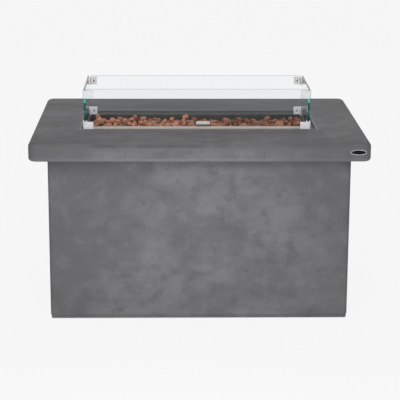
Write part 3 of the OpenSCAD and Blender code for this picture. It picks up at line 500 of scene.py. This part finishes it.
# The material of each slot
MATERIALS = {
    "concrete": concrete("concrete", (0.155, 0.154, 0.159)),
    "stainless": brushed("satin_stainless", (0.62, 0.60, 0.57)),
    "dark_steel": powder("dark_powder_coat", (0.045, 0.045, 0.048)),
    "black_metal": powder("black_powder_coat", (0.014, 0.014, 0.015), 0.4),
    "zinc": brushed("zinc_plate", (0.60, 0.61, 0.63), GRAIN_PLATED, 0.36),
    "aluminium_tube": brushed("bare_aluminium", (0.68, 0.68, 0.69), GRAIN_DRAWN, 0.34),
    "brass": brushed("machined_brass", (0.72, 0.52, 0.24), GRAIN_TURNED, 0.3, (0.4, 0.25, 0.1)),
    "copper": brushed("bare_copper", (0.66, 0.32, 0.2), GRAIN_EVEN, 0.35, (0.25, 0.12, 0.08)),
    "black_plastic": moulded("black_plastic", (0.02, 0.02, 0.021)),
    "rubber_black": moulded("glide_rubber", (0.018, 0.018, 0.018), 0.7, 500.0),
    "lead_rubber": moulded("red_silicone", (0.26, 0.02, 0.015), 0.5, 700.0),
    "ceramic": ceramic("white_ceramic", (0.78, 0.75, 0.69)),
    "lava": lava("lava_rock"),
    "glass": clear_glass("clear_glass", "X"),
    "clip_metal": brushed("satin_silver", (0.97, 0.975, 0.985), GRAIN_EVEN, 0.3, metallic=0.20),
}

# Sooty steel for the burner, made darker still as painted shade so that it doesn't shine between the stones
SOOTY_SHADED_STEEL = brushed("sooty_steel_painted_shade", (0.10, 0.095, 0.09), roughness=0.6, metallic=0.4)
SIDE_GLASS = clear_glass("clear_glass_of_the_sides", "Y")

# The nodes that look unlike the rest of their slot
OWN_MATERIALS = {
    "burner_pan": pan_steel("pan_steel_painted_light"),
    "burner_tube": SOOTY_SHADED_STEEL,
    "burner_saddles": SOOTY_SHADED_STEEL,
    "glass_left": SIDE_GLASS,
    "glass_right": SIDE_GLASS,
    "glass_front": clear_glass("clear_glass_of_the_front", "X", DARK_TOP),
    # Painted shade: the upper clips are the same silver as the lower ones, only darker
    "guard_clips_upper": brushed("silver_painted_shade", (0.80, 0.805, 0.815), GRAIN_EVEN, 0.3, metallic=0.22),
}


def dress_nodes():
    """Gives every CAD node its procedural material. The clear panes cast no shadow."""
    for part in frame["record"]["subparts"]:
        material = OWN_MATERIALS.get(part["node"], MATERIALS[part["material_slot"]])
        node = NODES[part["node"]]
        for slot in node.material_slots:
            slot.material = material
        if part["material_slot"] == "glass":
            node.visible_shadow = False


# Pieces

def add_piece(name, bm, slot, body, smooth=False, material=None):
    """Turns a bmesh, built in place in the row frame, into a piece that rides on a body."""
    mesh = bpy.data.meshes.new(name)
    bmesh.ops.recalc_face_normals(bm, faces=bm.faces)
    bm.to_mesh(mesh)
    bm.free()
    if smooth:
        mesh.shade_smooth()
    else:
        mesh.shade_flat()
    mesh.materials.append(material or MATERIALS[slot])
    piece = bpy.data.objects.new(name, mesh)
    bpy.context.scene.collection.objects.link(piece)
    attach(piece, body)
    return piece


def frame_at(point, axis):
    """A matrix whose Z runs along an axis, at a point."""
    turn = Vector((0, 0, 1)).rotation_difference(Vector(axis)).to_matrix().to_4x4()
    return Matrix.Translation(Vector(point)) @ turn


def circle(radius):
    """The reach of a circle at any angle."""
    return lambda angle: radius


def hexagon(flat):
    """The reach of a hexagon at an angle, for the distance to its flats."""
    return lambda angle: flat / math.cos((angle % (math.pi / 3)) - math.pi / 6)


def ring(bm, at, reach, level, segments):
    """Vertices round the Z of a matrix, at a level, each as far out as reach says for its angle."""
    verts = []
    for step in range(segments):
        angle = math.tau * step / segments
        out = reach(angle)
        verts.append(bm.verts.new(at @ Vector((out * math.cos(angle), out * math.sin(angle), level))))
    return verts


def skin(bm, rings, closed=False):
    """Faces from ring to ring. The ends are capped or, if closed, joined to each other."""
    following = rings[1:] + rings[:1] if closed else rings[1:]
    for low, high in zip(rings, following):
        for step in range(len(low)):
            after = (step + 1) % len(low)
            bm.faces.new((low[step], low[after], high[after], high[step]))
    if not closed:
        bm.faces.new(rings[0])
        bm.faces.new(rings[-1])


def turned(bm, at, profile, segments):
    """Turns a profile of (radius, level) about the Z of a matrix, closed at both ends."""
    skin(bm, [ring(bm, at, circle(radius), level, segments) for radius, level in profile])


# Stones

# How finely the deep and the loose stones are cut up, and how much they are rounded
DEEP_CUTS = 3
LOOSE_CUTS = 4
SMOOTHING = 0.3

# Lumps and pits of a stone's surface
LUMP_SCALE = 60
LUMP_POWER = 0.9
LUMP_STEP = 2.1
LUMP_OCTAVES = 3
LUMP_HEIGHT = 0.004
PIT_SCALE = 260
PIT_FROM = 0.05
PIT_DEPTH = 1.3
SEED_SHIFT = (3.7, 1.9, 5.3)


def stone_islands():
    """The corner points of each stone of the CAD node."""
    bm = bmesh.new()
    bm.from_mesh(NODES["lava_rocks"].data)
    bmesh.ops.remove_doubles(bm, verts=bm.verts, dist=1e-5)
    bm.verts.ensure_lookup_table()
    left = set(bm.verts)
    stones = []
    while left:
        first = min(left, key=lambda vert: vert.index)
        group = {first}
        queue = [first]
        while queue:
            for edge in queue.pop().link_edges:
                for vert in edge.verts:
                    if vert not in group:
                        group.add(vert)
                        queue.append(vert)
        left -= group
        in_order = sorted(group, key=lambda vert: vert.index)
        stones.append([vert.co.copy() for vert in in_order])
    bm.free()
    return stones


def rough_stone(bm, corners, seed, cuts):
    """Adds one stone: the hull of some points, cut up finely, rounded a little and pitted."""
    own = bmesh.new()
    for point in corners:
        own.verts.new(point)
    hull = bmesh.ops.convex_hull(own, input=own.verts)
    inner = [part for part in hull["geom_interior"] if isinstance(part, bmesh.types.BMVert)]
    bmesh.ops.delete(own, geom=inner, context="VERTS")
    bmesh.ops.subdivide_edges(own, edges=own.edges, cuts=cuts, use_grid_fill=True)
    bmesh.ops.triangulate(own, faces=own.faces)
    bmesh.ops.smooth_vert(own, verts=own.verts, factor=SMOOTHING, use_axis_x=True, use_axis_y=True,
                          use_axis_z=True)
    bmesh.ops.recalc_face_normals(own, faces=own.faces)
    own.normal_update()
    shift = Vector([seed * step for step in SEED_SHIFT])
    moves = []
    for vert in own.verts:
        lumps = noise.fractal(vert.co * LUMP_SCALE + shift, LUMP_POWER, LUMP_STEP, LUMP_OCTAVES)
        pits = max(0.0, noise.noise(vert.co * PIT_SCALE + shift) - PIT_FROM)
        moves.append(vert.normal * (lumps * LUMP_HEIGHT - pits * LUMP_HEIGHT * PIT_DEPTH))
    for vert, move in zip(own.verts, moves):
        vert.co += move
    mesh = bpy.data.meshes.new("stone")
    own.to_mesh(mesh)
    own.free()
    bm.from_mesh(mesh)
    bpy.data.meshes.remove(mesh)


# Where loose stones may lie, how far the bed sinks towards the back, and room round the hood
BED_X = (STONES_LOW.x + 0.01125, STONES_HIGH.x - 0.01125)
BED_Y = (STONES_LOW.y + 0.00525, STONES_HIGH.y - 0.01925)
BED_LEVEL = TOP_HIGH.z - 0.0115
UPPER_LAYER_RISE = 0.013
BACK_DROP = 0.015
HOOD_KEEP = 0.012

# How far the deep stones are pressed down, by their own height and by how far they stand out
DEEP_LEVEL = TOP_HIGH.z - 0.011
DEEP_SQUASH = 0.35
DEEP_SQUASH_BACK = 0.30
DEEP_SINK = 0.35

# The seed of the random draws, and how many places are tried for each loose stone
STONE_SEED = 41
TRIES_PER_STONE = 30

# Ranges that each loose stone's shape is drawn from, as shares of its size, in metres or radians
LEVEL_SPREAD = (-0.006, 0.005)
TILT = (-0.5, 0.5)
LENGTH = (0.95, 1.25)
THICKNESS = (0.8, 1.05)
CORNERS = (11, 16)
CORNER_REACH = (0.88, 1.08)


class Layer(NamedTuple):
    """One layer of loose stones: the spacing is a share of the sum of two stones' sizes."""
    count: int
    spacing: float
    sizes: tuple
    level: float


LAYERS = (
    Layer(150, 0.86, (0.0125, 0.0185), BED_LEVEL),
    Layer(34, 1.5, (0.010, 0.015), BED_LEVEL + UPPER_LAYER_RISE),
)


def way_back(y):
    """How far back in the bed a place is, from 0 to 1."""
    return min(1.0, max(0.0, y - BED_Y[0]) / (BED_Y[1] - BED_Y[0]))


def stone_places(rng, layer):
    """Places and sizes of loose stones, off the hood and none too near to another."""
    hood_low, hood_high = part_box("sensor_hood")
    placed = []
    for _ in range(layer.count * TRIES_PER_STONE):
        x = rng.uniform(*BED_X)
        y = rng.uniform(*BED_Y)
        size = rng.uniform(*layer.sizes)
        beside = hood_low.x - size - HOOD_KEEP < x < hood_high.x + size + HOOD_KEEP
        near_hood = beside and y < hood_high.y + size
        too_near = any((x - other_x) ** 2 + (y - other_y) ** 2 < (layer.spacing * (size + other)) ** 2
                       for other_x, other_y, other in placed)
        if near_hood or too_near:
            continue
        placed.append((x, y, size))
        if len(placed) == layer.count:
            break
    return placed


def loose_stone(rng, x, y, size, level):
    """The corner points of one random chunk."""
    middle = Vector((x, y, level - BACK_DROP * way_back(y) + rng.uniform(*LEVEL_SPREAD)))
    heading = Matrix.Rotation(rng.uniform(0, math.tau), 3, "Z")
    turn = heading @ Matrix.Rotation(rng.uniform(*TILT), 3, "X")
    shape = Vector((rng.uniform(*LENGTH), rng.uniform(*THICKNESS), rng.uniform(*THICKNESS)))
    corners = []
    for _ in range(rng.randint(*CORNERS)):
        way = Vector((rng.gauss(0, 1), rng.gauss(0, 1), rng.gauss(0, 1))).normalized()
        corners.append(middle + turn @ (way * shape * size * rng.uniform(*CORNER_REACH)))
    return corners


def pressed_down(corners):
    """A deep stone, pressed down so that the loose ones cover it."""
    middle = sum(corners, Vector()) / len(corners)
    sink = DEEP_SINK * max(0.0, max(point.z for point in corners) - DEEP_LEVEL)
    squash = DEEP_SQUASH + DEEP_SQUASH_BACK * way_back(middle.y)
    for point in corners:
        point.z -= squash * max(0.0, point.z - middle.z) + sink
    return corners


def make_stones():
    """The deep stones keep the CAD's places; loose chunks of many sizes lie on them."""
    stones = [(pressed_down(corners), DEEP_CUTS) for corners in stone_islands()]
    rng = random.Random(STONE_SEED)
    for layer in LAYERS:
        for x, y, size in stone_places(rng, layer):
            stones.append((loose_stone(rng, x, y, size, layer.level), LOOSE_CUTS))
    bm = bmesh.new()
    for seed, (corners, cuts) in enumerate(stones, start=1):
        rough_stone(bm, corners, seed, cuts)
    bed = add_piece("lava_rock_bed", bm, "lava", "table", smooth=True)
    bed.visible_glossy = False
    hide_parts("lava_rocks")


# Screws

class Head(NamedTuple):
    """A low round screw head with a hexagon socket."""
    radius: float
    height: float
    socket: float
    depth: float = 0.0012
    segments: int = 36


CLIP_HEAD = Head(0.0032, 0.0007, 0.0015, depth=0.001)
HINGE_HEAD = Head(0.0038, 0.0014, 0.0014)
PANEL_HEAD = Head(0.0038, 0.0020, 0.0014)
BRACKET_HEAD = Head(0.0045, 0.0025, 0.0015, segments=24)
HANDLE_HEAD = Head(0.0055, 0.0030, 0.0018)
HEAD_SUNK = 0.0012

# How a head rounds off: shares of its radius and of its height
HEAD_CURVE = ((1.0, 0.3), (0.93, 0.75), (0.75, 1.0))


def socket_head(bm, at, head):
    """A screw head that stands on the XY plane of a matrix, let in a little below it."""
    outline = [(circle(head.radius), -HEAD_SUNK)]
    for across, up in HEAD_CURVE:
        outline.append((circle(across * head.radius), up * head.height))
    outline.append((hexagon(head.socket), head.height))
    outline.append((hexagon(head.socket), head.height - head.depth))
    skin(bm, [ring(bm, at, reach, level, head.segments) for reach, level in outline])


def add_screws(name, places, head, slot, body):
    """One piece with a head at each (point, direction)."""
    bm = bmesh.new()
    for point, way in places:
        socket_head(bm, frame_at(point, way), head)
    return add_piece(name, bm, slot, body)


# How deep a clip is from its outer to its inner face, and how far its screws are from its corner
CLIP_THICKNESS = 0.0126
CLIP_SCREW_ALONG = 0.024


def make_clip_screws():
    """One screw through the inner wall of each arm of the corner clips, which the glass doesn't mirror."""
    for level in ("lower", "upper"):
        clips = "guard_clips_" + level
        low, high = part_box(clips)
        middle_z = (low.z + high.z) / 2
        places = []
        for side_x, x in ((1, low.x), (-1, high.x)):
            for side_y, y in ((1, low.y), (-1, high.y)):
                face_x = x + side_x * CLIP_THICKNESS
                face_y = y + side_y * CLIP_THICKNESS
                along_x = x + side_x * CLIP_SCREW_ALONG
                along_y = y + side_y * CLIP_SCREW_ALONG
                places.append(((along_x, face_y, middle_z), (0, side_y, 0)))
                places.append(((face_x, along_y, middle_z), (side_x, 0, 0)))
        screws = add_screws("clip_screws_" + level, places, CLIP_HEAD, "black_metal", "guard")
        screws.visible_glossy = False
        NODES[clips].visible_glossy = False


# A hinge leaf's sheet and height, and where its screws sit
LEAF_THICKNESS = 0.002
LEAF_HEIGHT = 0.060
LEAF_SCREW_IN = 0.009
LEAF_SCREWS_Z = (0.010, 0.030, 0.050)


def make_hinge_screws():
    """Three screws in each of the four leaves."""
    low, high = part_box("hinge_leaves_fixed")
    door_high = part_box("hinge_leaves_door")[1]
    face = low.y + LEAF_THICKNESS
    columns = (
        ("hinge_screws_fixed", low.x + LEAF_SCREW_IN, "table"),
        ("hinge_screws_door", door_high.x - LEAF_SCREW_IN, "door"),
    )
    for name, x, body in columns:
        places = []
        for foot in (low.z, high.z - LEAF_HEIGHT):
            for rise in LEAF_SCREWS_Z:
                places.append(((x, face, foot + rise), (0, 1, 0)))
        add_screws(name, places, HINGE_HEAD, "black_metal", body)


PANEL_SCREW_IN = 0.009


def make_panel_screws():
    """One screw in each corner of the control panel."""
    low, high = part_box("control_panel")
    places = []
    for x in (low.x + PANEL_SCREW_IN, high.x - PANEL_SCREW_IN):
        for z in (low.z + PANEL_SCREW_IN, high.z - PANEL_SCREW_IN):
            places.append(((x, high.y, z), (0, 1, 0)))
    add_screws("panel_screws", places, PANEL_HEAD, "zinc", "table")


# The brackets' places along the walls, their sheet, and where their screws sit
BRACKET_X = 0.33
BRACKET_Y = 0.19
BRACKET_SHEET = 0.003
BRACKET_SCREW_OUT = 0.024
BRACKET_SCREW_SIDE = 0.0125


def make_bracket_screws():
    """Two screws into the wall and two into the slab at each of the eight brackets."""
    low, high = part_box("top_brackets")
    walls = [(x, y, 0, 1 if y < 0 else -1) for x in (-BRACKET_X, BRACKET_X) for y in (low.y, high.y)]
    walls += [(x, y, 1 if x < 0 else -1, 0) for y in (-BRACKET_Y, BRACKET_Y) for x in (low.x, high.x)]
    places = []
    for x, y, in_x, in_y in walls:
        for shift in (-BRACKET_SCREW_SIDE, BRACKET_SCREW_SIDE):
            at_x = x + shift * abs(in_y)
            at_y = y + shift * abs(in_x)
            wall = (at_x + in_x * BRACKET_SHEET, at_y + in_y * BRACKET_SHEET, high.z - BRACKET_SCREW_OUT)
            slab = (at_x + in_x * BRACKET_SCREW_OUT, at_y + in_y * BRACKET_SCREW_OUT, high.z - BRACKET_SHEET)
            places.append((wall, (in_x, in_y, 0)))
            places.append((slab, (0, 0, -1)))
    add_screws("bracket_screws", places, BRACKET_HEAD, "zinc", "table")


HANDLE_SCREW_IN = 0.005


def make_handle_screws():
    """Two screws that hold the handle, with their heads inside the door."""
    inner_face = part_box("access_door")[0].y
    low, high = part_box("door_handle")
    x = (low.x + high.x) / 2
    heights = (low.z + HANDLE_SCREW_IN, high.z - HANDLE_SCREW_IN)
    places = [((x, inner_face, z), (0, -1, 0)) for z in heights]
    add_screws("handle_screws", places, HANDLE_HEAD, "zinc", "door")


MAGNET_SCREW_IN_X = 0.009
MAGNET_SCREW_IN_Z = 0.008


def make_magnet_screws():
    """Two screws in the magnet's flange."""
    low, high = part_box("door_magnet")
    x = high.x - MAGNET_SCREW_IN_X
    heights = (low.z + MAGNET_SCREW_IN_Z, high.z - MAGNET_SCREW_IN_Z)
    places = [((x, low.y, z), (0, -1, 0)) for z in heights]
    add_screws("magnet_screws", places, PANEL_HEAD, "zinc", "table")


# A glide's middle from its side, and the screw head in its foot
GLIDE_MIDDLE = 0.022
GLIDE_SCREW_Z = 0.0003
GLIDE_SCREW = ((0.006, 0.0), (0.006, 0.001))


def make_glide_screws():
    """A plain screw head in the foot of each glide."""
    low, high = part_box("foot_glides")
    bm = bmesh.new()
    for x in (low.x + GLIDE_MIDDLE, high.x - GLIDE_MIDDLE):
        for y in (low.y + GLIDE_MIDDLE, high.y - GLIDE_MIDDLE):
            turned(bm, frame_at((x, y, GLIDE_SCREW_Z), (0, 0, 1)), GLIDE_SCREW, segments=24)
    add_piece("glide_screws", bm, "zinc", "table")


# Marks on the knob and the panel

# The line's width, its back and front from the knob's end, and where it starts and stops
LINE_HALF_WIDTH = 0.0011
LINE_BACK = 0.0009
LINE_FRONT = 0.0003
LINE_FROM = 0.0046
LINE_TO = 0.0166
LINE_ROUNDING = 0.0001


def make_knob_line():
    """A white line in the knob's slot."""
    low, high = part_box("control_knob")
    middle = (low + high) / 2
    line_low = Vector((middle.x - LINE_HALF_WIDTH, high.y - LINE_BACK, middle.z + LINE_FROM))
    line_high = Vector((middle.x + LINE_HALF_WIDTH, high.y - LINE_FRONT, middle.z + LINE_TO))
    bm = bmesh.new()
    bmesh.ops.create_cube(bm, size=1.0)
    for vert in bm.verts:
        for axis in range(3):
            vert.co[axis] = line_high[axis] if vert.co[axis] > 0 else line_low[axis]
    bmesh.ops.bevel(bm, geom=bm.edges[:], offset=LINE_ROUNDING, segments=2, affect="EDGES")
    add_piece("knob_line", bm, "ceramic", "knob")


# The dots' number, the radius of their circle, and the radius that the first has and each adds
DOT_COUNT = 9
DOT_CIRCLE = 0.029
DOT_SMALLEST = 0.0008
DOT_GROWTH = 0.00013

# Shares of a dot's radius, with levels from the face of the panel
DOT_PROFILE = ((1.0, -0.0003), (1.0, 0.0001), (0.8, 0.0002))


def make_panel_dots():
    """A half circle of dots round the knob, which grow with the flame."""
    low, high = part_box("control_knob")
    middle = (low + high) / 2
    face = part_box("control_panel")[1].y
    bm = bmesh.new()
    for index in range(DOT_COUNT):
        angle = math.radians(90 + index * 180 / (DOT_COUNT - 1))
        radius = DOT_SMALLEST + DOT_GROWTH * index
        x = middle.x + DOT_CIRCLE * math.cos(angle)
        z = middle.z + DOT_CIRCLE * math.sin(angle)
        dot = [(share * radius, level) for share, level in DOT_PROFILE]
        turned(bm, frame_at((x, face, z), (0, 1, 0)), dot, segments=20)
    add_piece("panel_dots", bm, "black_metal", "table")


# Gas fittings

# A nut from its middle to its flats and its bore, and how its corners are turned down
NUT_FLAT = 0.0085
NUT_BORE = 0.0052
NUT_BEVEL = 0.97
NUT_CHAMFER = 0.0012
NUT_SEGMENTS = 48


def hexagon_nut(bm, at, height):
    """A nut with turned down corners, open in the middle."""
    corner = NUT_BEVEL * NUT_FLAT / math.cos(math.pi / 6)
    sides = hexagon(NUT_FLAT)
    bore = circle(NUT_BORE)
    end_face = circle(NUT_BEVEL * NUT_FLAT)

    def turned_down(angle):
        return min(sides(angle), corner)

    outline = (
        (bore, 0.0),
        (end_face, 0.0),
        (turned_down, NUT_CHAMFER),
        (turned_down, height - NUT_CHAMFER),
        (end_face, height),
        (bore, height),
    )
    rings = [ring(bm, at, reach, level, NUT_SEGMENTS) for reach, level in outline]
    skin(bm, rings, closed=True)


# The gas line's radius, and where the nuts at its ends start and how long they are
GAS_LINE_RADIUS = 0.005
JET_NUT_BELOW = 0.011
JET_NUT_HEIGHT = 0.014
VALVE_NUT_OUT = 0.015
VALVE_NUT_HEIGHT = 0.0148


def make_flare_nuts():
    """Flare nuts at both ends of the gas line."""
    line_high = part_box("gas_line")[1]
    valve_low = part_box("gas_valve")[0]
    jet_low, jet_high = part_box("gas_orifice")
    jet = (jet_low + jet_high) / 2
    below_jet = (jet.x, jet.y, jet_low.z - JET_NUT_BELOW)
    outlet = (valve_low.x - VALVE_NUT_OUT, line_high.y - GAS_LINE_RADIUS, line_high.z - GAS_LINE_RADIUS)
    bm = bmesh.new()
    hexagon_nut(bm, frame_at(below_jet, (0, 0, 1)), JET_NUT_HEIGHT)
    hexagon_nut(bm, frame_at(outlet, (1, 0, 0)), VALVE_NUT_HEIGHT)
    add_piece("flare_nuts", bm, "brass", "table")


THREAD_PITCH = 0.0013
THREAD_TURNS = 10
THREAD_START = 0.0016
THREAD_ROOT = 0.0078
THREAD_CREST = 0.00815

# Shares of the pitch at which a turn has its crest and is back at the root
CREST_AT = 0.4
ROOT_AT = 0.8


def make_inlet_thread():
    """The thread round the gas inlet, as rings."""
    low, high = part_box("gas_inlet")
    middle = (low + high) / 2
    profile = []
    for turn in range(THREAD_TURNS):
        level = THREAD_START + turn * THREAD_PITCH
        profile.append((THREAD_ROOT, level))
        profile.append((THREAD_CREST, level + CREST_AT * THREAD_PITCH))
        profile.append((THREAD_ROOT, level + ROOT_AT * THREAD_PITCH))
    bm = bmesh.new()
    turned(bm, frame_at((middle.x, middle.y, low.z), (0, 0, 1)), profile, segments=48)
    add_piece("inlet_thread", bm, "brass", "table")


# Badge

# How far the badge's middle is from the end of the band, half its size, and its profiles of
# (inset, level) from the face of the band
BADGE_IN = 0.043
RIM_HALF = (0.0260, 0.0084)
RIM_PROFILE = ((0, -0.0012), (0, 0.00003), (0.0003, 0.00005), (0.0009, 0.00005), (0.0011, 0.00002))
PLATE_HALF = (0.0250, 0.0074)
PLATE_PROFILE = ((0, -0.001), (0, 0.00002), (0.0006, 0.00003), (0.0045, 0.00003), (0.0050, 0.00004),
                 (0.0054, 0.00004), (0.0059, 0.00003))
OVAL_SEGMENTS = 72


def oval(at, half, profile):
    """An oval plate, from half its size and a profile of (inset, level)."""
    bm = bmesh.new()
    rings = []
    for inset, level in profile:
        verts = []
        for step in range(OVAL_SEGMENTS):
            angle = math.tau * (step + 0.5) / OVAL_SEGMENTS
            across = (half[0] - inset) * math.cos(angle)
            up = (half[1] - inset) * math.sin(angle)
            verts.append(bm.verts.new(at @ Vector((across, up, level))))
        rings.append(verts)
    skin(bm, rings)
    return bm


def make_badge():
    """A small bare oval plate, halfway up the edge band."""
    middle_z = (TOP_LOW.z + TOP_HIGH.z) / 2
    at = frame_at((TOP_HIGH.x - BADGE_IN, TOP_LOW.y, middle_z), (0, -1, 0))
    dull_rim = brushed("dull_rim", (0.74, 0.74, 0.72), metallic=0.1)
    enamel = powder("badge_enamel", (0.009, 0.009, 0.010), 0.8, gloss=0.05)
    rim = oval(at, RIM_HALF, RIM_PROFILE)
    add_piece("badge_rim", rim, "clip_metal", "table", smooth=True, material=dull_rim)
    plate = oval(at, PLATE_HALF, PLATE_PROFILE)
    add_piece("badge_plate", plate, "black_metal", "table", smooth=True, material=enamel)


# Light, floor and background

WHITE = (0.922, 0.922, 0.922)
FLOOR_WHITE = (0.937, 0.937, 0.937)
FLOOR_PAINT = (0.9, 0.9, 0.9)
FLOOR_HALF = 60
SKY_MIDDLE = 0.80
SKY_SIDES = 0.25
SKY_FADE = (0.1, 1.0)

# The floor glows evenly where it is seen, apart from its part under the base
FLOOR_GLOW = 0.95
GLOW_FADE = 0.004


def make_world():
    """A soft sky that is darker at the sides; where it is seen it is an even white."""
    world = bpy.data.worlds.new("studio")
    bpy.context.scene.world = world
    world.use_nodes = True
    sky = Nodes(world.node_tree)
    background = sky.tree.nodes["Background"]
    aside = sky.size(sky.axes(sky.node("TexCoord").outputs["Generated"])["X"])
    level = sky.spread(aside, *SKY_FADE, SKY_MIDDLE, SKY_SIDES)
    sky.feed(background.inputs["Color"], sky.blend(sky.seen_directly(), level, WHITE))
    background.inputs["Strength"].default_value = 1.0


def floor_material():
    """Pale paint that mostly glows where it is seen, but not on top under the base, where it is dark."""
    look = Shader("pale_floor", FLOOR_PAINT, Roughness=1.0, Specular_IOR_Level=0.0)
    middle = (BASE_LOW + BASE_HIGH) / 2
    half = (BASE_HIGH - BASE_LOW) / 2
    past = look.past_rectangle(look.axes(look.place), middle.xy, half.xy)
    glow_share = look.times(look.seen_directly(), look.spread(past, -GLOW_FADE, 0.0, 0.0, FLOOR_GLOW))
    glow_share = look.most(glow_share, look.node("NewGeometry").outputs["Backfacing"])
    glow = look.node("Emission", {"Color": (*FLOOR_WHITE, 1)})
    mixed = look.node("MixShader", {0: glow_share, 1: look.bsdf.outputs[0], 2: glow.outputs[0]})
    look.end("Surface", mixed.outputs[0])
    return look.material


def make_floor():
    """A wide flat floor at the height of the glides' feet."""
    bm = bmesh.new()
    bmesh.ops.create_grid(bm, x_segments=1, y_segments=1, size=FLOOR_HALF)
    mesh = bpy.data.meshes.new("floor")
    bm.to_mesh(mesh)
    bm.free()
    mesh.materials.append(floor_material())
    floor = bpy.data.objects.new("floor", mesh)
    bpy.context.scene.collection.objects.link(floor)


class Lamp(NamedTuple):
    """A square area lamp at a place, which faces a point."""
    name: str
    at: tuple
    target: tuple
    size: float
    watts: float


LAMPS = (
    Lamp("key", (-0.5, -4.2, 3.0), (0, 0, 0.4), 2.4, 62),
    Lamp("back", (0.1, 3.6, 3.4), (0, 0, 0.4), 2.0, 26),
    Lamp("fill", (-0.06, -1.7, 0.60), (-0.03, 0, 0.42), 0.5, 7),
)


def make_lamp(lamp):
    """Sets up one lamp, which isn't mirrored in metal or seen through glass."""
    data = bpy.data.lights.new(lamp.name, "AREA")
    data.size = lamp.size
    data.energy = lamp.watts
    made = bpy.data.objects.new(lamp.name, data)
    made.visible_glossy = False
    made.visible_transmission = False
    bpy.context.scene.collection.objects.link(made)
    way = (Vector(lamp.target) - Vector(lamp.at)).normalized()
    turn = way.to_track_quat("-Z", "Y").to_matrix().to_4x4()
    made.matrix_world = Matrix.Translation(Vector(lamp.at)) @ turn


bpy.context.scene.view_settings.view_transform = "Standard"
make_camera()
dress_nodes()
make_stones()
make_clip_screws()
make_hinge_screws()
make_panel_screws()
make_bracket_screws()
make_handle_screws()
make_magnet_screws()
make_glide_screws()
make_knob_line()
make_panel_dots()
make_flare_nuts()
make_inlet_thread()
make_badge()
make_world()
make_floor()
for lamp in LAMPS:
    make_lamp(lamp)
